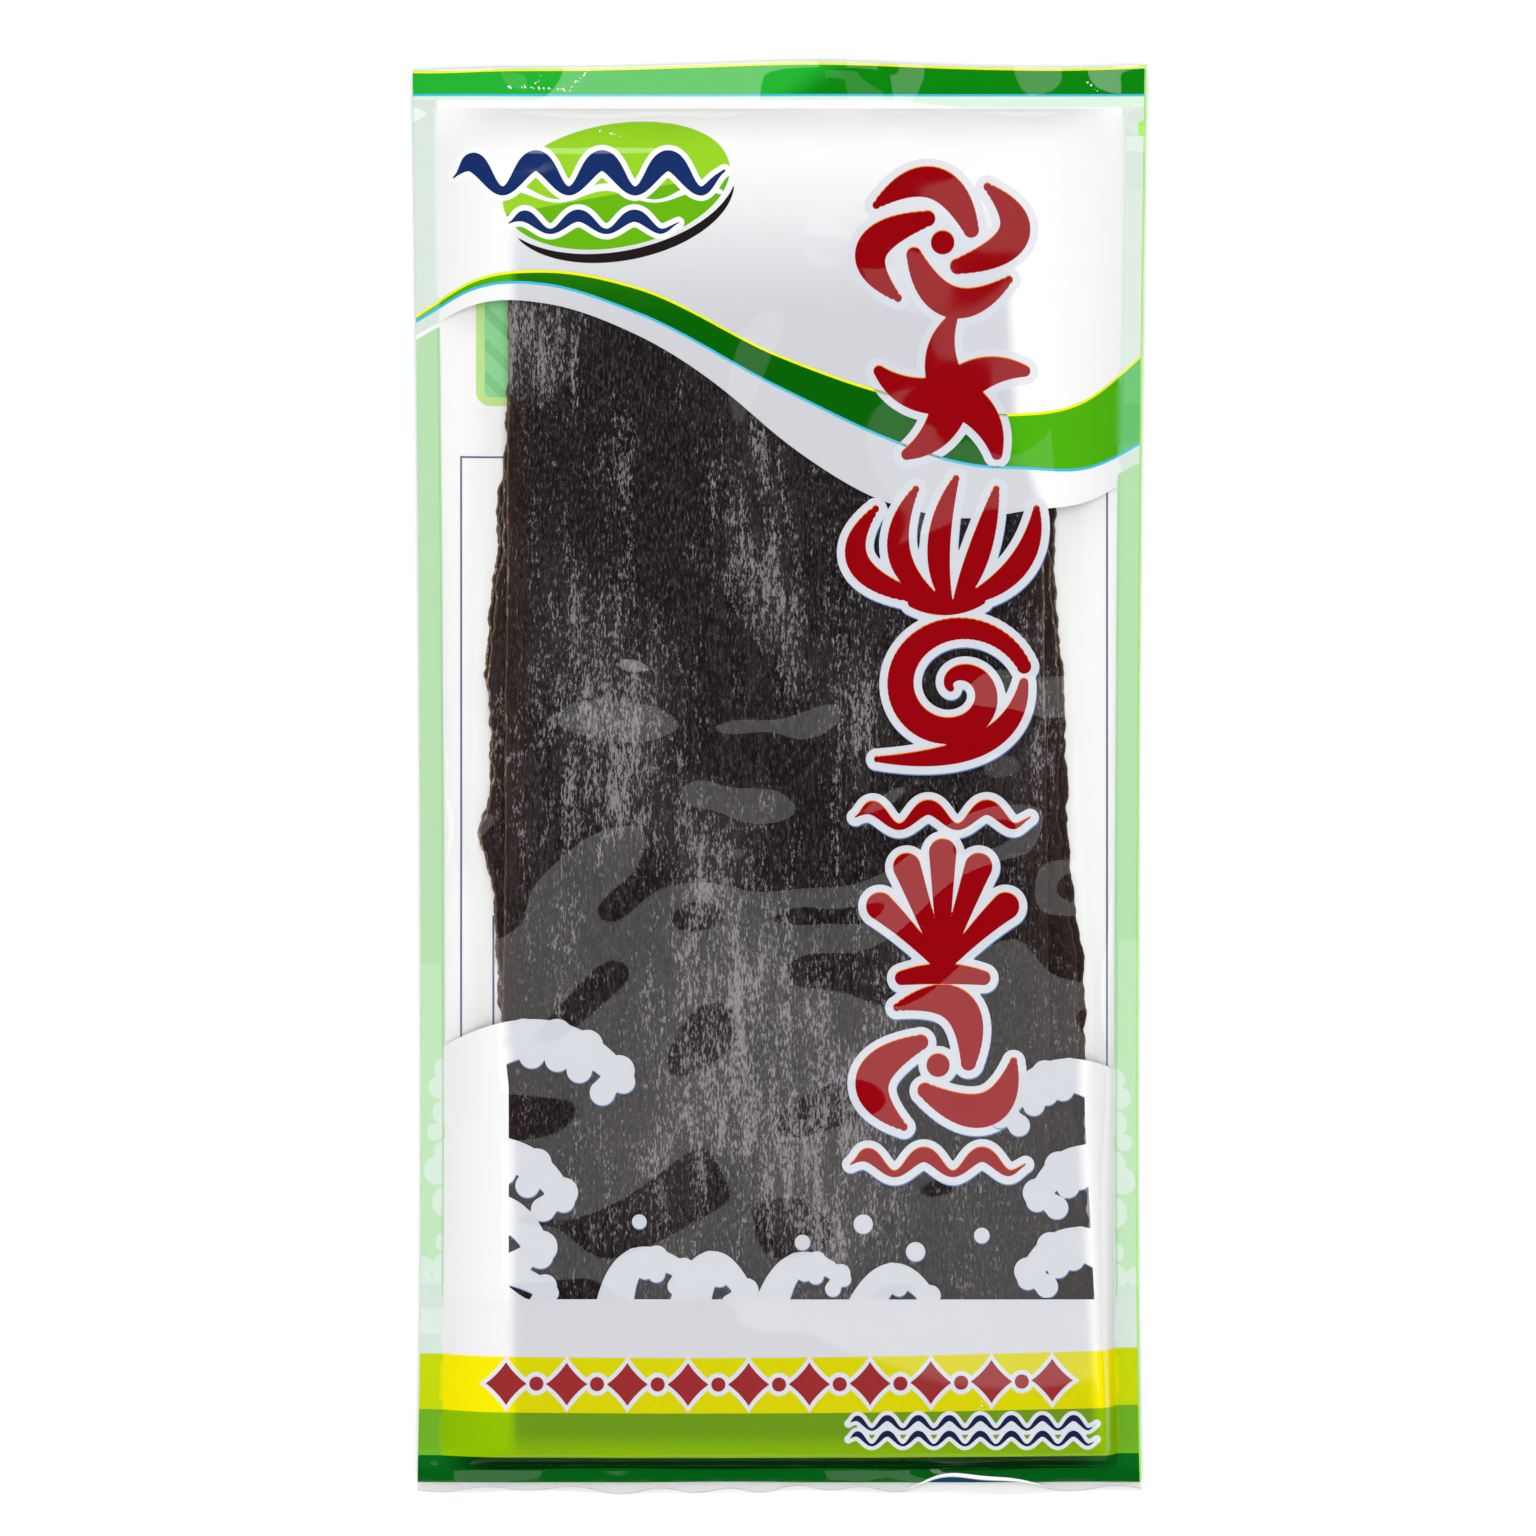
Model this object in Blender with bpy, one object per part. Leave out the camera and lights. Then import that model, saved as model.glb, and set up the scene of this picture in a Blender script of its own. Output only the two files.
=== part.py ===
"""Sealed flat pouch with a stack of dried kelp sheets in it, lying on its back.

The pouch is welded on all four sides.  It is modelled as one closed solid: a thin flange
all round (the welded films), gutters where the films slope away from the flange, and a
raised plateau with the uneven outline of the kelp stack.  Width runs along X, length
along Y with the pouch's top end at +Y, and the printed side faces +Z.  The origin is the
centre of the underside.
"""

import bmesh
import bpy
import numpy as np

MM = 0.001
NAME = "sealed_pack"

# The cut size of the two films.
TOP_CUT = 156.0 * MM  # the mean top edge
BOTTOM_CUT = -156.1 * MM  # the mean bottom edge
WAIST_HALF_WIDTH = 78.3 * MM
WAIST_AT = -85.0 * MM  # the fuller lower half draws the sides in here
TOP_FLARE = 1.9 * MM  # how much wider than the waist each side is at the top
BOTTOM_FLARE = 0.9 * MM

# The welds, measured inwards from the cut edges.
SIDE_WELD = 5.2 * MM
TOP_WELD = 9.7 * MM
BOTTOM_WELD = 5.7 * MM  # with the clear lip beyond it
FLANGE_LEVEL = 2.5 * MM  # height of the middle of the flange
FLANGE_THICKNESS = 0.5 * MM

# The kelp stack.
STACK_LEFT = -59.4 * MM
STACK_TOP = 136.9 * MM
STACK_BOTTOM = -145.3 * MM
STACK_HEIGHT = 8.6 * MM
LEFT_BULGE = 5.0 * MM  # the left edge swells out in its middle
LEFT_KNOB = 2.4 * MM
RIGHT_MIDDLE = 62.9 * MM
RIGHT_SLANT = 0.052  # the right edge leans outwards towards the bottom
WARP = 0.5 * MM  # the dried sheets are gently warped

# Faces along each zone: flange, gutter, stack, gutter, flange.
ZONES_X = (1, 5, 14, 5, 1)
ZONES_Y = (2, 4, 40, 5, 2)

COLOURS = {
    "kelp_window": ((0.030, 0.025, 0.025), 0.45),
    "white_print": ((0.80, 0.81, 0.83), 0.30),
    "green_print": ((0.010, 0.240, 0.012), 0.30),
    "pale_green_print": ((0.47, 0.72, 0.45), 0.30),
    "yellow_print": ((0.80, 0.72, 0.010), 0.30),
    "lime_print": ((0.22, 0.42, 0.010), 0.30),
}


def bump(t):
    """A round hump: 1 at 0, falling smoothly to 0 at -1 and 1."""
    return np.where(np.abs(t) < 1.0, 0.5 + 0.5 * np.cos(np.pi * np.clip(t, -1, 1)), 0.0)


def half_width(y):
    """Half the pouch's width: a parabola that widens from the waist towards both ends."""
    t = y - WAIST_AT
    upper = TOP_FLARE * (t / (TOP_CUT - WAIST_AT)) ** 2
    lower = BOTTOM_FLARE * (t / (WAIST_AT - BOTTOM_CUT)) ** 2
    return WAIST_HALF_WIDTH + np.where(t > 0, upper, lower)


def top_cut(x):
    """The top edge waves gently where the film puckers, and drops at its left corner."""
    corner = 1.5 * MM * np.exp(-(((x + 0.080) / 0.018) ** 2))
    return TOP_CUT + 0.6 * MM * np.sin(x / 0.0165 + 1.2) - corner


def bottom_cut(x):
    """The clear lip's edge: two long waves added."""
    return BOTTOM_CUT + 0.35 * MM * (np.sin(x / 0.011 + 0.5) + 0.6 * np.sin(x / 0.0047))


def stack_left(y):
    """The left edge of the stack: straight, with one long bulge and one small knob."""
    bulge = LEFT_BULGE * np.sqrt(bump((y - 0.007) / 0.074))
    knob = LEFT_KNOB * bump((y + 0.0124) / 0.010)
    return STACK_LEFT - bulge - knob


def stack_right(y):
    """The right edge of the stack: a slanted line with one shallow bulge."""
    return RIGHT_MIDDLE - RIGHT_SLANT * y + 1.5 * MM * bump((y + 0.047) / 0.03)


def drape(u):
    """Film between weld (u = 0) and stack (u = 1): steep at the weld, level at the stack."""
    return 1.0 - (1.0 - np.clip(u, 0.0, 1.0)) ** 1.7


def underside(u):
    """The lower film comes down to the table at the outer third of the gutter."""
    return np.clip(u / 0.72, 0.0, 1.0) ** 0.8


def stations(marks, counts):
    """Positions through the zones: marks are the zone limits (arrays), counts the faces."""
    rows = [marks[0]]
    for start, end, count in zip(marks[:-1], marks[1:], counts):
        rows += [start + (end - start) * (i + 1) / count for i in range(count)]
    return np.array(rows)


def zone_fraction(values, counts, edge):
    """How far a station is through the gutter at one side, from 0 at the weld to 1."""
    first = counts[0]
    width = counts[1]
    index = values if edge == "low" else sum(counts) - values
    return np.clip((index - first) / width, 0.0, 1.0)


def flange_wave(x, y):
    """The welded ends curl up and down a little along their length."""
    ends = np.clip((np.abs(y) - 0.140) / 0.014, 0.0, 1.0)
    return ends * 0.55 * MM * (np.sin(x / 0.0125 + 0.7 * np.sign(y)) + 0.5 * np.sin(x / 0.0061))


def stack_warp(x, y):
    """Gentle warp of the dried sheets: slow waves across and along."""
    across = np.cos(x / 0.021 + y / 0.075 + 0.6)
    along = np.cos(y / 0.031 - x / 0.060)
    return 0.5 * WARP * (across + along)


def paint_zone(x, y):
    """The print colour at a point: header, sweeping band, side strips, window, end bands."""
    header = 0.066 - 0.035 * np.sin(x / 0.036 - 0.35) - 0.16 * x
    if y > 0.1475:
        return "green_print"
    if y > header + 0.012:
        return "white_print"
    if y > header:
        return "green_print"
    if y < -0.1485:
        return "green_print"
    if y < -0.1370:
        return "lime_print"
    if y < -0.1255:
        return "yellow_print"
    if abs(x) > 0.0735:
        return "pale_green_print"
    if y < -0.1135 or y > header - 0.010:
        return "white_print"
    return "kelp_window"


def material(name):
    """A Principled material in one of the pouch's colours."""
    colour, roughness = COLOURS[name]
    made = bpy.data.materials.new(name)
    made.use_nodes = True
    shader = made.node_tree.nodes["Principled BSDF"]
    shader.inputs["Base Color"].default_value = (*colour, 1.0)
    shader.inputs["Roughness"].default_value = roughness
    shader.inputs["Metallic"].default_value = 0.0
    return made


def pouch_points():
    """Plan positions and both heights of every grid point, each an array [row, column]."""
    rows = sum(ZONES_Y) + 1
    columns = sum(ZONES_X) + 1
    spread = np.linspace(-1.0, 1.0, columns)[None, :].repeat(rows, 0) * WAIST_HALF_WIDTH
    x = spread
    for _ in range(4):  # x needs y and y needs x, so both are refined in turn
        top = top_cut(x[-1])
        bottom = bottom_cut(x[0])
        one = np.ones(columns)
        marks = [bottom, (BOTTOM_CUT + BOTTOM_WELD) * one, STACK_BOTTOM * one]
        marks += [STACK_TOP * one, (TOP_CUT - TOP_WELD) * one, top]
        y = stations(marks, ZONES_Y)
        half = half_width(y).mean(axis=1)
        level = y.mean(axis=1)
        marks = [-half, SIDE_WELD - half, stack_left(level)]
        marks += [stack_right(level), half - SIDE_WELD, half]
        x = stations(marks, ZONES_X).T

    column = np.arange(columns)[None, :]
    row = np.arange(rows)[:, None]
    sides = [zone_fraction(column, ZONES_X, "low"), zone_fraction(column, ZONES_X, "high")]
    ends = [zone_fraction(row, ZONES_Y, "low"), zone_fraction(row, ZONES_Y, "high")]
    raised = np.ones((rows, columns))
    lowered = np.ones((rows, columns))
    for u in sides + ends:
        raised = raised * drape(u)
        lowered = lowered * underside(u)
    middle = FLANGE_LEVEL + flange_wave(x, y) * (1.0 - raised)
    flange_top = middle + FLANGE_THICKNESS / 2
    flange_bottom = middle - FLANGE_THICKNESS / 2
    crown = STACK_HEIGHT + stack_warp(x, y)
    upper = flange_top + (crown - flange_top) * raised
    lower = flange_bottom * (1.0 - lowered)
    return x, y, upper, lower


def build_pouch():
    """A plan grid, thickened into a closed shell whose two sides follow their heights."""
    x, y, upper, lower = pouch_points()
    rows, columns = x.shape
    shell = bmesh.new()
    made = bmesh.ops.create_grid(
        shell, x_segments=columns - 1, y_segments=rows - 1, size=1.0
    )
    for vertex in made["verts"]:
        column = round((vertex.co.x + 1.0) / 2.0 * (columns - 1))
        row = round((vertex.co.y + 1.0) / 2.0 * (rows - 1))
        vertex.co = (x[row, column], y[row, column], lower[row, column])
        vertex.index = row * columns + column
    numbers = {vertex: vertex.index for vertex in made["verts"]}
    plan = {(round(v.co.x, 7), round(v.co.y, 7)): n for v, n in numbers.items()}
    thick = bmesh.ops.extrude_face_region(shell, geom=shell.faces[:], use_keep_orig=True)
    for item in thick["geom"]:
        if isinstance(item, bmesh.types.BMVert):
            number = plan[(round(item.co.x, 7), round(item.co.y, 7))]
            item.co.z = upper[number // columns, number % columns]
    bmesh.ops.recalc_face_normals(shell, faces=shell.faces[:])

    # The flat of the underside becomes a few large faces.
    flat = [f for f in shell.faces if max(v.co.z for v in f.verts) < 1e-6]
    inner = [e for e in shell.edges if e.is_manifold and all(f in flat for f in e.link_faces)]
    corners = list({v for f in flat for v in f.verts})
    bmesh.ops.dissolve_limit(shell, angle_limit=0.001, verts=corners, edges=inner)
    big = [f for f in shell.faces if len(f.verts) > 4]
    bmesh.ops.triangulate(shell, faces=big)

    mesh = bpy.data.meshes.new(NAME)
    slots = list(COLOURS)
    for face in shell.faces:
        centre = face.calc_center_median()
        face.material_index = slots.index(paint_zone(centre.x, centre.y))
        face.smooth = True
    shell.to_mesh(mesh)
    shell.free()
    for name in slots:
        mesh.materials.append(material(name))
    mesh.set_sharp_from_angle(angle=np.radians(40.0))
    return bpy.data.objects.new(NAME, mesh)


def main():
    for old in list(bpy.data.objects):
        bpy.data.objects.remove(old, do_unlink=True)
    parts = bpy.data.collections.new("dried_kelp_pouch")
    bpy.context.scene.collection.children.link(parts)
    parts.objects.link(build_pouch())


main()
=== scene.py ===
import math

import bpy
import numpy as np
from bpy.props import FloatProperty, FloatVectorProperty, IntProperty, PointerProperty
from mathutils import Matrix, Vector


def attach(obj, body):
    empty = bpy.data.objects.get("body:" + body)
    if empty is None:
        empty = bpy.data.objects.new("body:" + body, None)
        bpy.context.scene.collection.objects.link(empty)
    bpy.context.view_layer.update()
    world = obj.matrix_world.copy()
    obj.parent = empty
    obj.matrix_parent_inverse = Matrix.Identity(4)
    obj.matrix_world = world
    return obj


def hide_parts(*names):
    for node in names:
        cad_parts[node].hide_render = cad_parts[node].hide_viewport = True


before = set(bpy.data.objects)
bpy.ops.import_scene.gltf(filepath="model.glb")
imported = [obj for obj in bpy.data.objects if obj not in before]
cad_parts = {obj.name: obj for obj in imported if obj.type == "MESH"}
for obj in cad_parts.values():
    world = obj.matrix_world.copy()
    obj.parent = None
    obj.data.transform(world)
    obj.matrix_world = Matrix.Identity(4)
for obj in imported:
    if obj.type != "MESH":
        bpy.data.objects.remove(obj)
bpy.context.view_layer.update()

bl_info = {
    "name": "Dried Kelp Pouch",
    "version": (1, 0, 0),
    "blender": (4, 5, 0),
    "location": "View3D > Sidebar > Kelp Pouch",
    "description": "Clear film, print and kelp sheets of a sealed flat pouch",
    "category": "Object",
}

MM = 0.001
NODE = "sealed_pack"

# --- Plan and heights of the pouch, the same rules as the solid's --------------------
TOP_CUT = 156.0 * MM
BOTTOM_CUT = -156.1 * MM
WAIST_HALF_WIDTH = 78.3 * MM
WAIST_AT = -85.0 * MM
TOP_FLARE = 1.9 * MM
BOTTOM_FLARE = 0.9 * MM
SIDE_WELD = 5.2 * MM
TOP_WELD = 9.7 * MM
BOTTOM_WELD = 5.7 * MM
FLANGE_LEVEL = 2.5 * MM
STACK_LEFT = -59.4 * MM
STACK_TOP = 136.9 * MM
STACK_BOTTOM = -145.3 * MM
STACK_HEIGHT = 8.6 * MM
LEFT_BULGE = 5.0 * MM
LEFT_KNOB = 2.4 * MM
RIGHT_MIDDLE = 62.9 * MM
RIGHT_SLANT = 0.052
WARP = 0.5 * MM

# Where the layers lie, measured from the middle of the flange or the surface of the solid.
FRONT_ABOVE_MIDDLE = 0.17 * MM
BACK_BELOW_MIDDLE = 0.05 * MM
FILM_BELOW_CROWN = 0.40 * MM
BACK_CLEARANCE = 0.10 * MM
TOP_INK = 0.030 * MM  # how far under the front film each ink lies
TOP_SLIP_INK = 0.040 * MM
MID_INK = 0.050 * MM
MID_SLIP_INK = 0.060 * MM
FIELD_INK = 0.070 * MM
BACK_INK = 0.030 * MM  # how far above or below the back film its print lies
EDGE_INSET = 0.05 * MM  # how far the films stay inside the solid's cut edges
RIM_REACH = 1.3 * MM  # how far from a printed shape's outline the mesh is made finer
BACK_EDGE_SHOWS = 0.45 * MM  # strip at the right edge that the front print leaves clear

# Faces along each zone of the films: flange, gutter, stack, gutter, flange.
FILM_X = (5, 14, 110, 14, 5)
FILM_Y = (6, 8, 236, 10, 10)

# Waves of the slack film: angle of the crests, wavelength over two pi, share, shift.
RIPPLE_WAVES = (
    (0.45, 4.4 * MM, 0.28, 0.7), (0.30, 8.2 * MM, 0.42, 2.1), (0.75, 3.1 * MM, 0.07, 4.0),
)

# The front film's lip at the foot: small scallops, and one place where it stands open.
LIP_SCALLOP = 1.1 * MM
LIP_OPEN_AT = 43.0 * MM
LIP_OPEN_HALF = 20.0 * MM
LIP_OPEN_RISE = 3.3 * MM

# Salt bloom on the kelp: middle x, middle y, spread across and along in mm, strength.
BLOOM_SPOTS = (
    (-55, 95, 8, 11, 1.6), (-41, 26, 9, 17, 1.0), (-39, 0, 10, 14, 1.1), (-30, 17, 5, 13, 0.6),
    (-7, 52, 10, 19, 0.65), (-3, 38, 5, 11, 0.6), (-17, -24, 6, 14, 0.7), (-8, -37, 12, 20, 0.7),
    (-7, -66, 14, 30, 0.7), (17, 19, 6, 16, 0.7), (4, 30, 4, 14, 0.5), (57, 17, 5, 20, 0.6),
    (-35, 63, 5, 16, 0.6), (-48, 87, 5, 12, 0.9), (14, -4, 5, 20, 0.4), (24, 44, 5, 12, 0.5),
    (8, -76, 13, 22, 0.6), (-22, -58, 8, 20, 0.5), (26, -42, 6, 24, 0.4), (-50, -30, 6, 16, 0.3),
    (22, -92, 40, 26, 0.25), (-38, -84, 20, 22, 0.2), (4, -95, 3, 4, 0.8), (12, -102, 8, 6, 0.5),
)

# Tan spots on the top sheet: middle x and y, half width and half length in mm, strength.
TAN_SPOTS = ((1.2, -90.9, 2.1, 2.0, 1.3), (54.7, 31.8, 2.2, 6.5, 0.75))

# Sharp creases of the front film, shown by painted highlight specks: from, to (x, y in mm) and how many specks
# each has.
CREASES = (
    ((-59.5, 150.9), (-45.5, 150.4), 26), ((-53.4, 151.3), (-52.0, 153.6), 8),
    ((-46.5, 150.2), (-41.3, 154.9), 16), ((-47.5, 141.4), (-38.5, 141.0), 12),
    ((-37.0, 140.2), (-34.5, 139.6), 6), ((13.5, 140.6), (26.0, 138.2), 18),
    ((43.5, -137.0), (45.0, -134.5), 5), ((67.0, 152.0), (69.5, 150.3), 6),
)

# Scallops on the side strips: distance from the middle, height and radius in mm.
STRIP_SCALLOPS = (
    (72.9, -63.5, 2.5), (74.4, -67.5, 2.3), (72.8, -73.0, 3.0), (75.3, -77.2, 1.7),
    (72.6, -82.0, 3.0), (74.8, -85.6, 2.9), (72.5, -92.5, 3.4), (73.2, -101.2, 2.0),
    (77.6, -106.5, 2.0), (72.3, -107.0, 3.6), (76.6, -111.2, 2.6), (72.0, -113.0, 3.6),
)

# Print on the back film.
BACK_FRAME = (-69.4, 71.4, -113.0, 70.0)  # left, right, foot, head in millimetres
BACK_COLUMN = (-62.6, -113.0, -30.0)  # x, foot, head of the line inside the frame
BACK_LABEL = (-66.4, 66.4, 81.4, 110.0)
BACK_BAND = 14.0 * MM

# Print layout: heights along Y, and knots of the sweeping band (x, y) in millimetres.
TOP_BAND_LOW = 148.9 * MM
FOOT_PRINT_LOW = -153.8 * MM
SWEEP_UPPER = ((-82, 99), (-66, 108.2), (-51, 110), (-31, 106.4), (0, 91.6), (25, 83.0),
               (50, 78.8), (66, 81.6), (82, 94.5))
SWEEP_DEPTH = ((-82, 0.6), (-55, 2.0), (-31, 5.0), (0, 6.4), (35, 10.6), (57, 11.8),
               (82, 19.5))
UNDER_DEPTH = ((-82, 3.0), (-55, 4.2), (-31, 5.0), (-12, 7.4), (5, 12.4), (20, 14.2),
               (35, 12.9), (60, 8.4), (82, 6.0))
STRIP_DROP = 4.2 * MM  # the side strips start this far under the sweep
WINDOW_LOW = -113.4 * MM
STRIP_LOW = WINDOW_LOW
YELLOW_TOP = -124.8 * MM
LIME_TOP = -137.2 * MM
FOOT_TOP = -147.6 * MM


def bump(t):
    """A round hump: half of one plus the cosine of pi t, from -1 to 1, and 0 outside."""
    return np.where(np.abs(t) < 1.0, 0.5 + 0.5 * np.cos(np.pi * np.clip(t, -1, 1)), 0.0)


def smooth(t):
    """Smooth step: 3 t squared minus 2 t cubed, with t held between 0 and 1."""
    t = np.clip(t, 0.0, 1.0)
    return t * t * (3.0 - 2.0 * t)


def half_width(y):
    """Half the pouch's width: a parabola in the distance from the waist."""
    t = y - WAIST_AT
    upper = TOP_FLARE * (t / (TOP_CUT - WAIST_AT)) ** 2
    lower = BOTTOM_FLARE * (t / (WAIST_AT - BOTTOM_CUT)) ** 2
    return WAIST_HALF_WIDTH + np.where(t > 0, upper, lower)


def top_cut(x):
    """The top edge: one sine, less a bell-shaped drop at the left corner."""
    corner = 1.5 * MM * np.exp(-(((x + 0.080) / 0.018) ** 2))
    return TOP_CUT + 0.6 * MM * np.sin(x / 0.0165 + 1.2) - corner


def bottom_cut(x):
    """The bottom edge: the sum of two sines."""
    return BOTTOM_CUT + 0.35 * MM * (np.sin(x / 0.011 + 0.5) + 0.6 * np.sin(x / 0.0047))


def lip_open(x):
    """Share by which the front film's lip stands open: one round hump along the foot."""
    return bump((x - LIP_OPEN_AT) / LIP_OPEN_HALF)


def front_foot(x):
    """The front film's lower edge: the cut, drawn back by scallops and at the open place."""
    scallops = 0.5 + 0.5 * np.sin(x / 0.0027 + 1.3 * np.sin(x / 0.019))
    return bottom_cut(x) + LIP_SCALLOP * scallops + LIP_OPEN_RISE * lip_open(x)


def stack_left(y):
    """The left edge of the stack: a line less the root of a hump, less a small hump."""
    bulge = LEFT_BULGE * np.sqrt(bump((y - 0.007) / 0.074))
    knob = LEFT_KNOB * bump((y + 0.0124) / 0.010)
    return STACK_LEFT - bulge - knob


def stack_right(y):
    """The right edge of the stack: a slanted line plus a shallow hump."""
    return RIGHT_MIDDLE - RIGHT_SLANT * y + 1.5 * MM * bump((y + 0.047) / 0.03)


def drape(u):
    """Height of the film from weld to stack: one less a power of the way still to go."""
    return 1.0 - (1.0 - np.clip(u, 0.0, 1.0)) ** 1.7


def underside(u):
    """Depth of the lower film: a power of the way through the gutter's outer part."""
    return np.clip(u / 0.72, 0.0, 1.0) ** 0.8


def flange_wave(x, y):
    """Curl of the welded ends: two sines along X that fade in over the last 14 mm."""
    ends = np.clip((np.abs(y) - 0.140) / 0.014, 0.0, 1.0)
    wave = np.sin(x / 0.0125 + 0.7 * np.sign(y)) + 0.5 * np.sin(x / 0.0061)
    return ends * 0.55 * MM * wave


def stack_warp(x, y):
    """Warp of the dried sheets: the mean of a slow cosine across and one along."""
    across = np.cos(x / 0.021 + y / 0.075 + 0.6)
    along = np.cos(y / 0.031 - x / 0.060)
    return 0.5 * WARP * (across + along)


def gutters(x, y):
    """How far each point is through the four gutters: 0 at the weld, 1 at the stack."""
    half = half_width(y)
    inner = half - SIDE_WELD
    low = BOTTOM_CUT + BOTTOM_WELD
    high = TOP_CUT - TOP_WELD
    return (
        np.clip((x + inner) / (stack_left(y) + inner), 0, 1),
        np.clip((inner - x) / (inner - stack_right(y)), 0, 1),
        np.clip((y - low) / (STACK_BOTTOM - low), 0, 1),
        np.clip((high - y) / (high - STACK_TOP), 0, 1),
    )


def raised(x, y):
    """Share of the full height at each point: the product of the four drapes."""
    a, b, c, d = gutters(x, y)
    return drape(a) * drape(b) * drape(c) * drape(d)


def ripples(x, y, depth):
    """Slack waves of the film: three sines whose crests run up to the right at their own
    angles, with phases bent by slower sines, slackest in the middle and taut at both ends."""
    total = np.zeros_like(x)
    for angle, length, share, shift in RIPPLE_WAVES:
        ca, sa = math.cos(angle), math.sin(angle)
        along = x * ca + y * sa
        across = y * ca - x * sa
        bend = 1.7 * np.sin(along / 0.0125 + shift) + 1.3 * np.sin(along / 0.031 + across / 0.025)
        total += share * np.sin(across / length + bend + 2.0 * shift)
    slack = 0.30 + 1.05 * smooth((0.075 - y) / 0.065) - 0.50 * smooth((-0.046 - y) / 0.045)
    return depth * slack * smooth((y + 0.126) / 0.045) * total


def puckers(x, y, depth):
    """Small pleats square to the welds: sines along each weld, under a hump that is
    highest in the gutter."""
    a, b, c, d = gutters(x, y)
    left = np.sin(y / 0.0026 + 2.0 * np.sin(y / 0.017)) * bump(1.6 * a - 0.7)
    right = np.sin(y / 0.0031 + 1.5 * np.sin(y / 0.013)) * bump(1.6 * b - 0.7)
    foot = np.sin(x / 0.0034 + 1.8 * np.sin(x / 0.015)) * bump(1.6 * c - 0.7)
    head = np.sin(x / 0.0042 + 2.2 * np.sin(x / 0.019)) * bump(1.6 * d - 0.7)
    return depth * (0.5 * left + 0.5 * right + 0.6 * foot + head)


def front_height(x, y, sizes):
    """Height of the front film: flange level, plus the raised share of the crown, plus
    ripples on the stack and puckers in the gutters."""
    share = raised(x, y)
    base = FLANGE_LEVEL + flange_wave(x, y) * (1.0 - share) + FRONT_ABOVE_MIDDLE
    base = base + 1.6 * MM * lip_open(x) * smooth((-0.1475 - y) / 0.006)
    crown = STACK_HEIGHT - FILM_BELOW_CROWN + stack_warp(x, y)
    waves = ripples(x, y, sizes.ripple_depth) * smooth(share * 1.4 - 0.3)
    return base + (crown - base) * share + waves + puckers(x, y, sizes.pucker_depth)


def back_height(x, y):
    """Height of the back film: flange level less the lowered share, just over the base."""
    a, b, c, d = gutters(x, y)
    lowered = underside(a) * underside(b) * underside(c) * underside(d)
    base = FLANGE_LEVEL + flange_wave(x, y) * (1.0 - raised(x, y)) - BACK_BELOW_MIDDLE
    return base * (1.0 - lowered) + BACK_CLEARANCE * lowered


def knot_curve(knots, x):
    """A smooth curve through (x, y) knots in millimetres: between two knots a cubic
    whose end slopes are those of the lines through each knot's neighbours."""
    at = np.array(knots, float) * MM
    kx, ky = at[:, 0], at[:, 1]
    slope = np.gradient(ky, kx)
    i = np.clip(np.searchsorted(kx, x) - 1, 0, len(kx) - 2)
    width = kx[i + 1] - kx[i]
    t = np.clip((x - kx[i]) / width, 0.0, 1.0)
    h00 = 2 * t**3 - 3 * t**2 + 1
    h10 = t**3 - 2 * t**2 + t
    h01 = 3 * t**2 - 2 * t**3
    h11 = t**3 - t**2
    return h00 * ky[i] + h10 * width * slope[i] + h01 * ky[i + 1] + h11 * width * slope[i + 1]


def sweep_upper(x):
    """Upper edge of the green sweep."""
    return knot_curve(SWEEP_UPPER, x)


def sweep_lower(x):
    """Lower edge of the green sweep: the upper edge less its depth."""
    return sweep_upper(x) - knot_curve(SWEEP_DEPTH, x)


def window_upper(x):
    """Upper edge of the clear window: the sweep's lower edge less the white under it."""
    return sweep_lower(x) - knot_curve(UNDER_DEPTH, x)


def yellow_top(x):
    """Upper edge of the yellow band: a shallow arch upside down."""
    return YELLOW_TOP - 1.3 * MM * np.cos(x / 0.055 + 0.15) + 0.006 * x


def band_droop(x):
    """How the lower bands follow the yellow band's arch, fading towards the foot."""
    return yellow_top(x) - YELLOW_TOP


# --- Grids, clipping and meshes -------------------------------------------------------
def stations(marks, counts):
    """Positions through the zones: straight steps from each mark to the next."""
    rows = [marks[0]]
    for start, end, count in zip(marks[:-1], marks[1:], counts):
        rows += [start + (end - start) * (i + 1) / count for i in range(count)]
    return np.array(rows)


def film_grid(foot):
    """Plan positions of a film's grid, as X and Y arrays [row, column], with grid lines
    on the cut edges, on the welds' inner edges and on the stack's outline."""
    columns = sum(FILM_X) + 1
    x = np.linspace(-1, 1, columns)[None, :].repeat(sum(FILM_Y) + 1, 0) * WAIST_HALF_WIDTH
    one = np.ones(columns)
    for _ in range(4):
        marks = [foot(x[0]) + EDGE_INSET, (BOTTOM_CUT + BOTTOM_WELD) * one, STACK_BOTTOM * one]
        marks += [STACK_TOP * one, (TOP_CUT - TOP_WELD) * one, top_cut(x[-1]) - EDGE_INSET]
        y = stations(marks, FILM_Y)
        level = y.mean(axis=1)
        half = half_width(level) - EDGE_INSET
        marks = [-half, SIDE_WELD - half, stack_left(level)]
        marks += [stack_right(level), half - SIDE_WELD, half]
        x = stations(marks, FILM_X).T
    return x, y


def grid_triangles(rows, columns):
    """Two triangles for each cell of a grid, counter-clockwise seen from +Z."""
    n = np.arange(rows * columns).reshape(rows, columns)
    a, b = n[:-1, :-1].ravel(), n[:-1, 1:].ravel()
    c, d = n[1:, 1:].ravel(), n[1:, :-1].ravel()
    return np.concatenate([np.stack([a, b, c], 1), np.stack([a, c, d], 1)])


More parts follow.
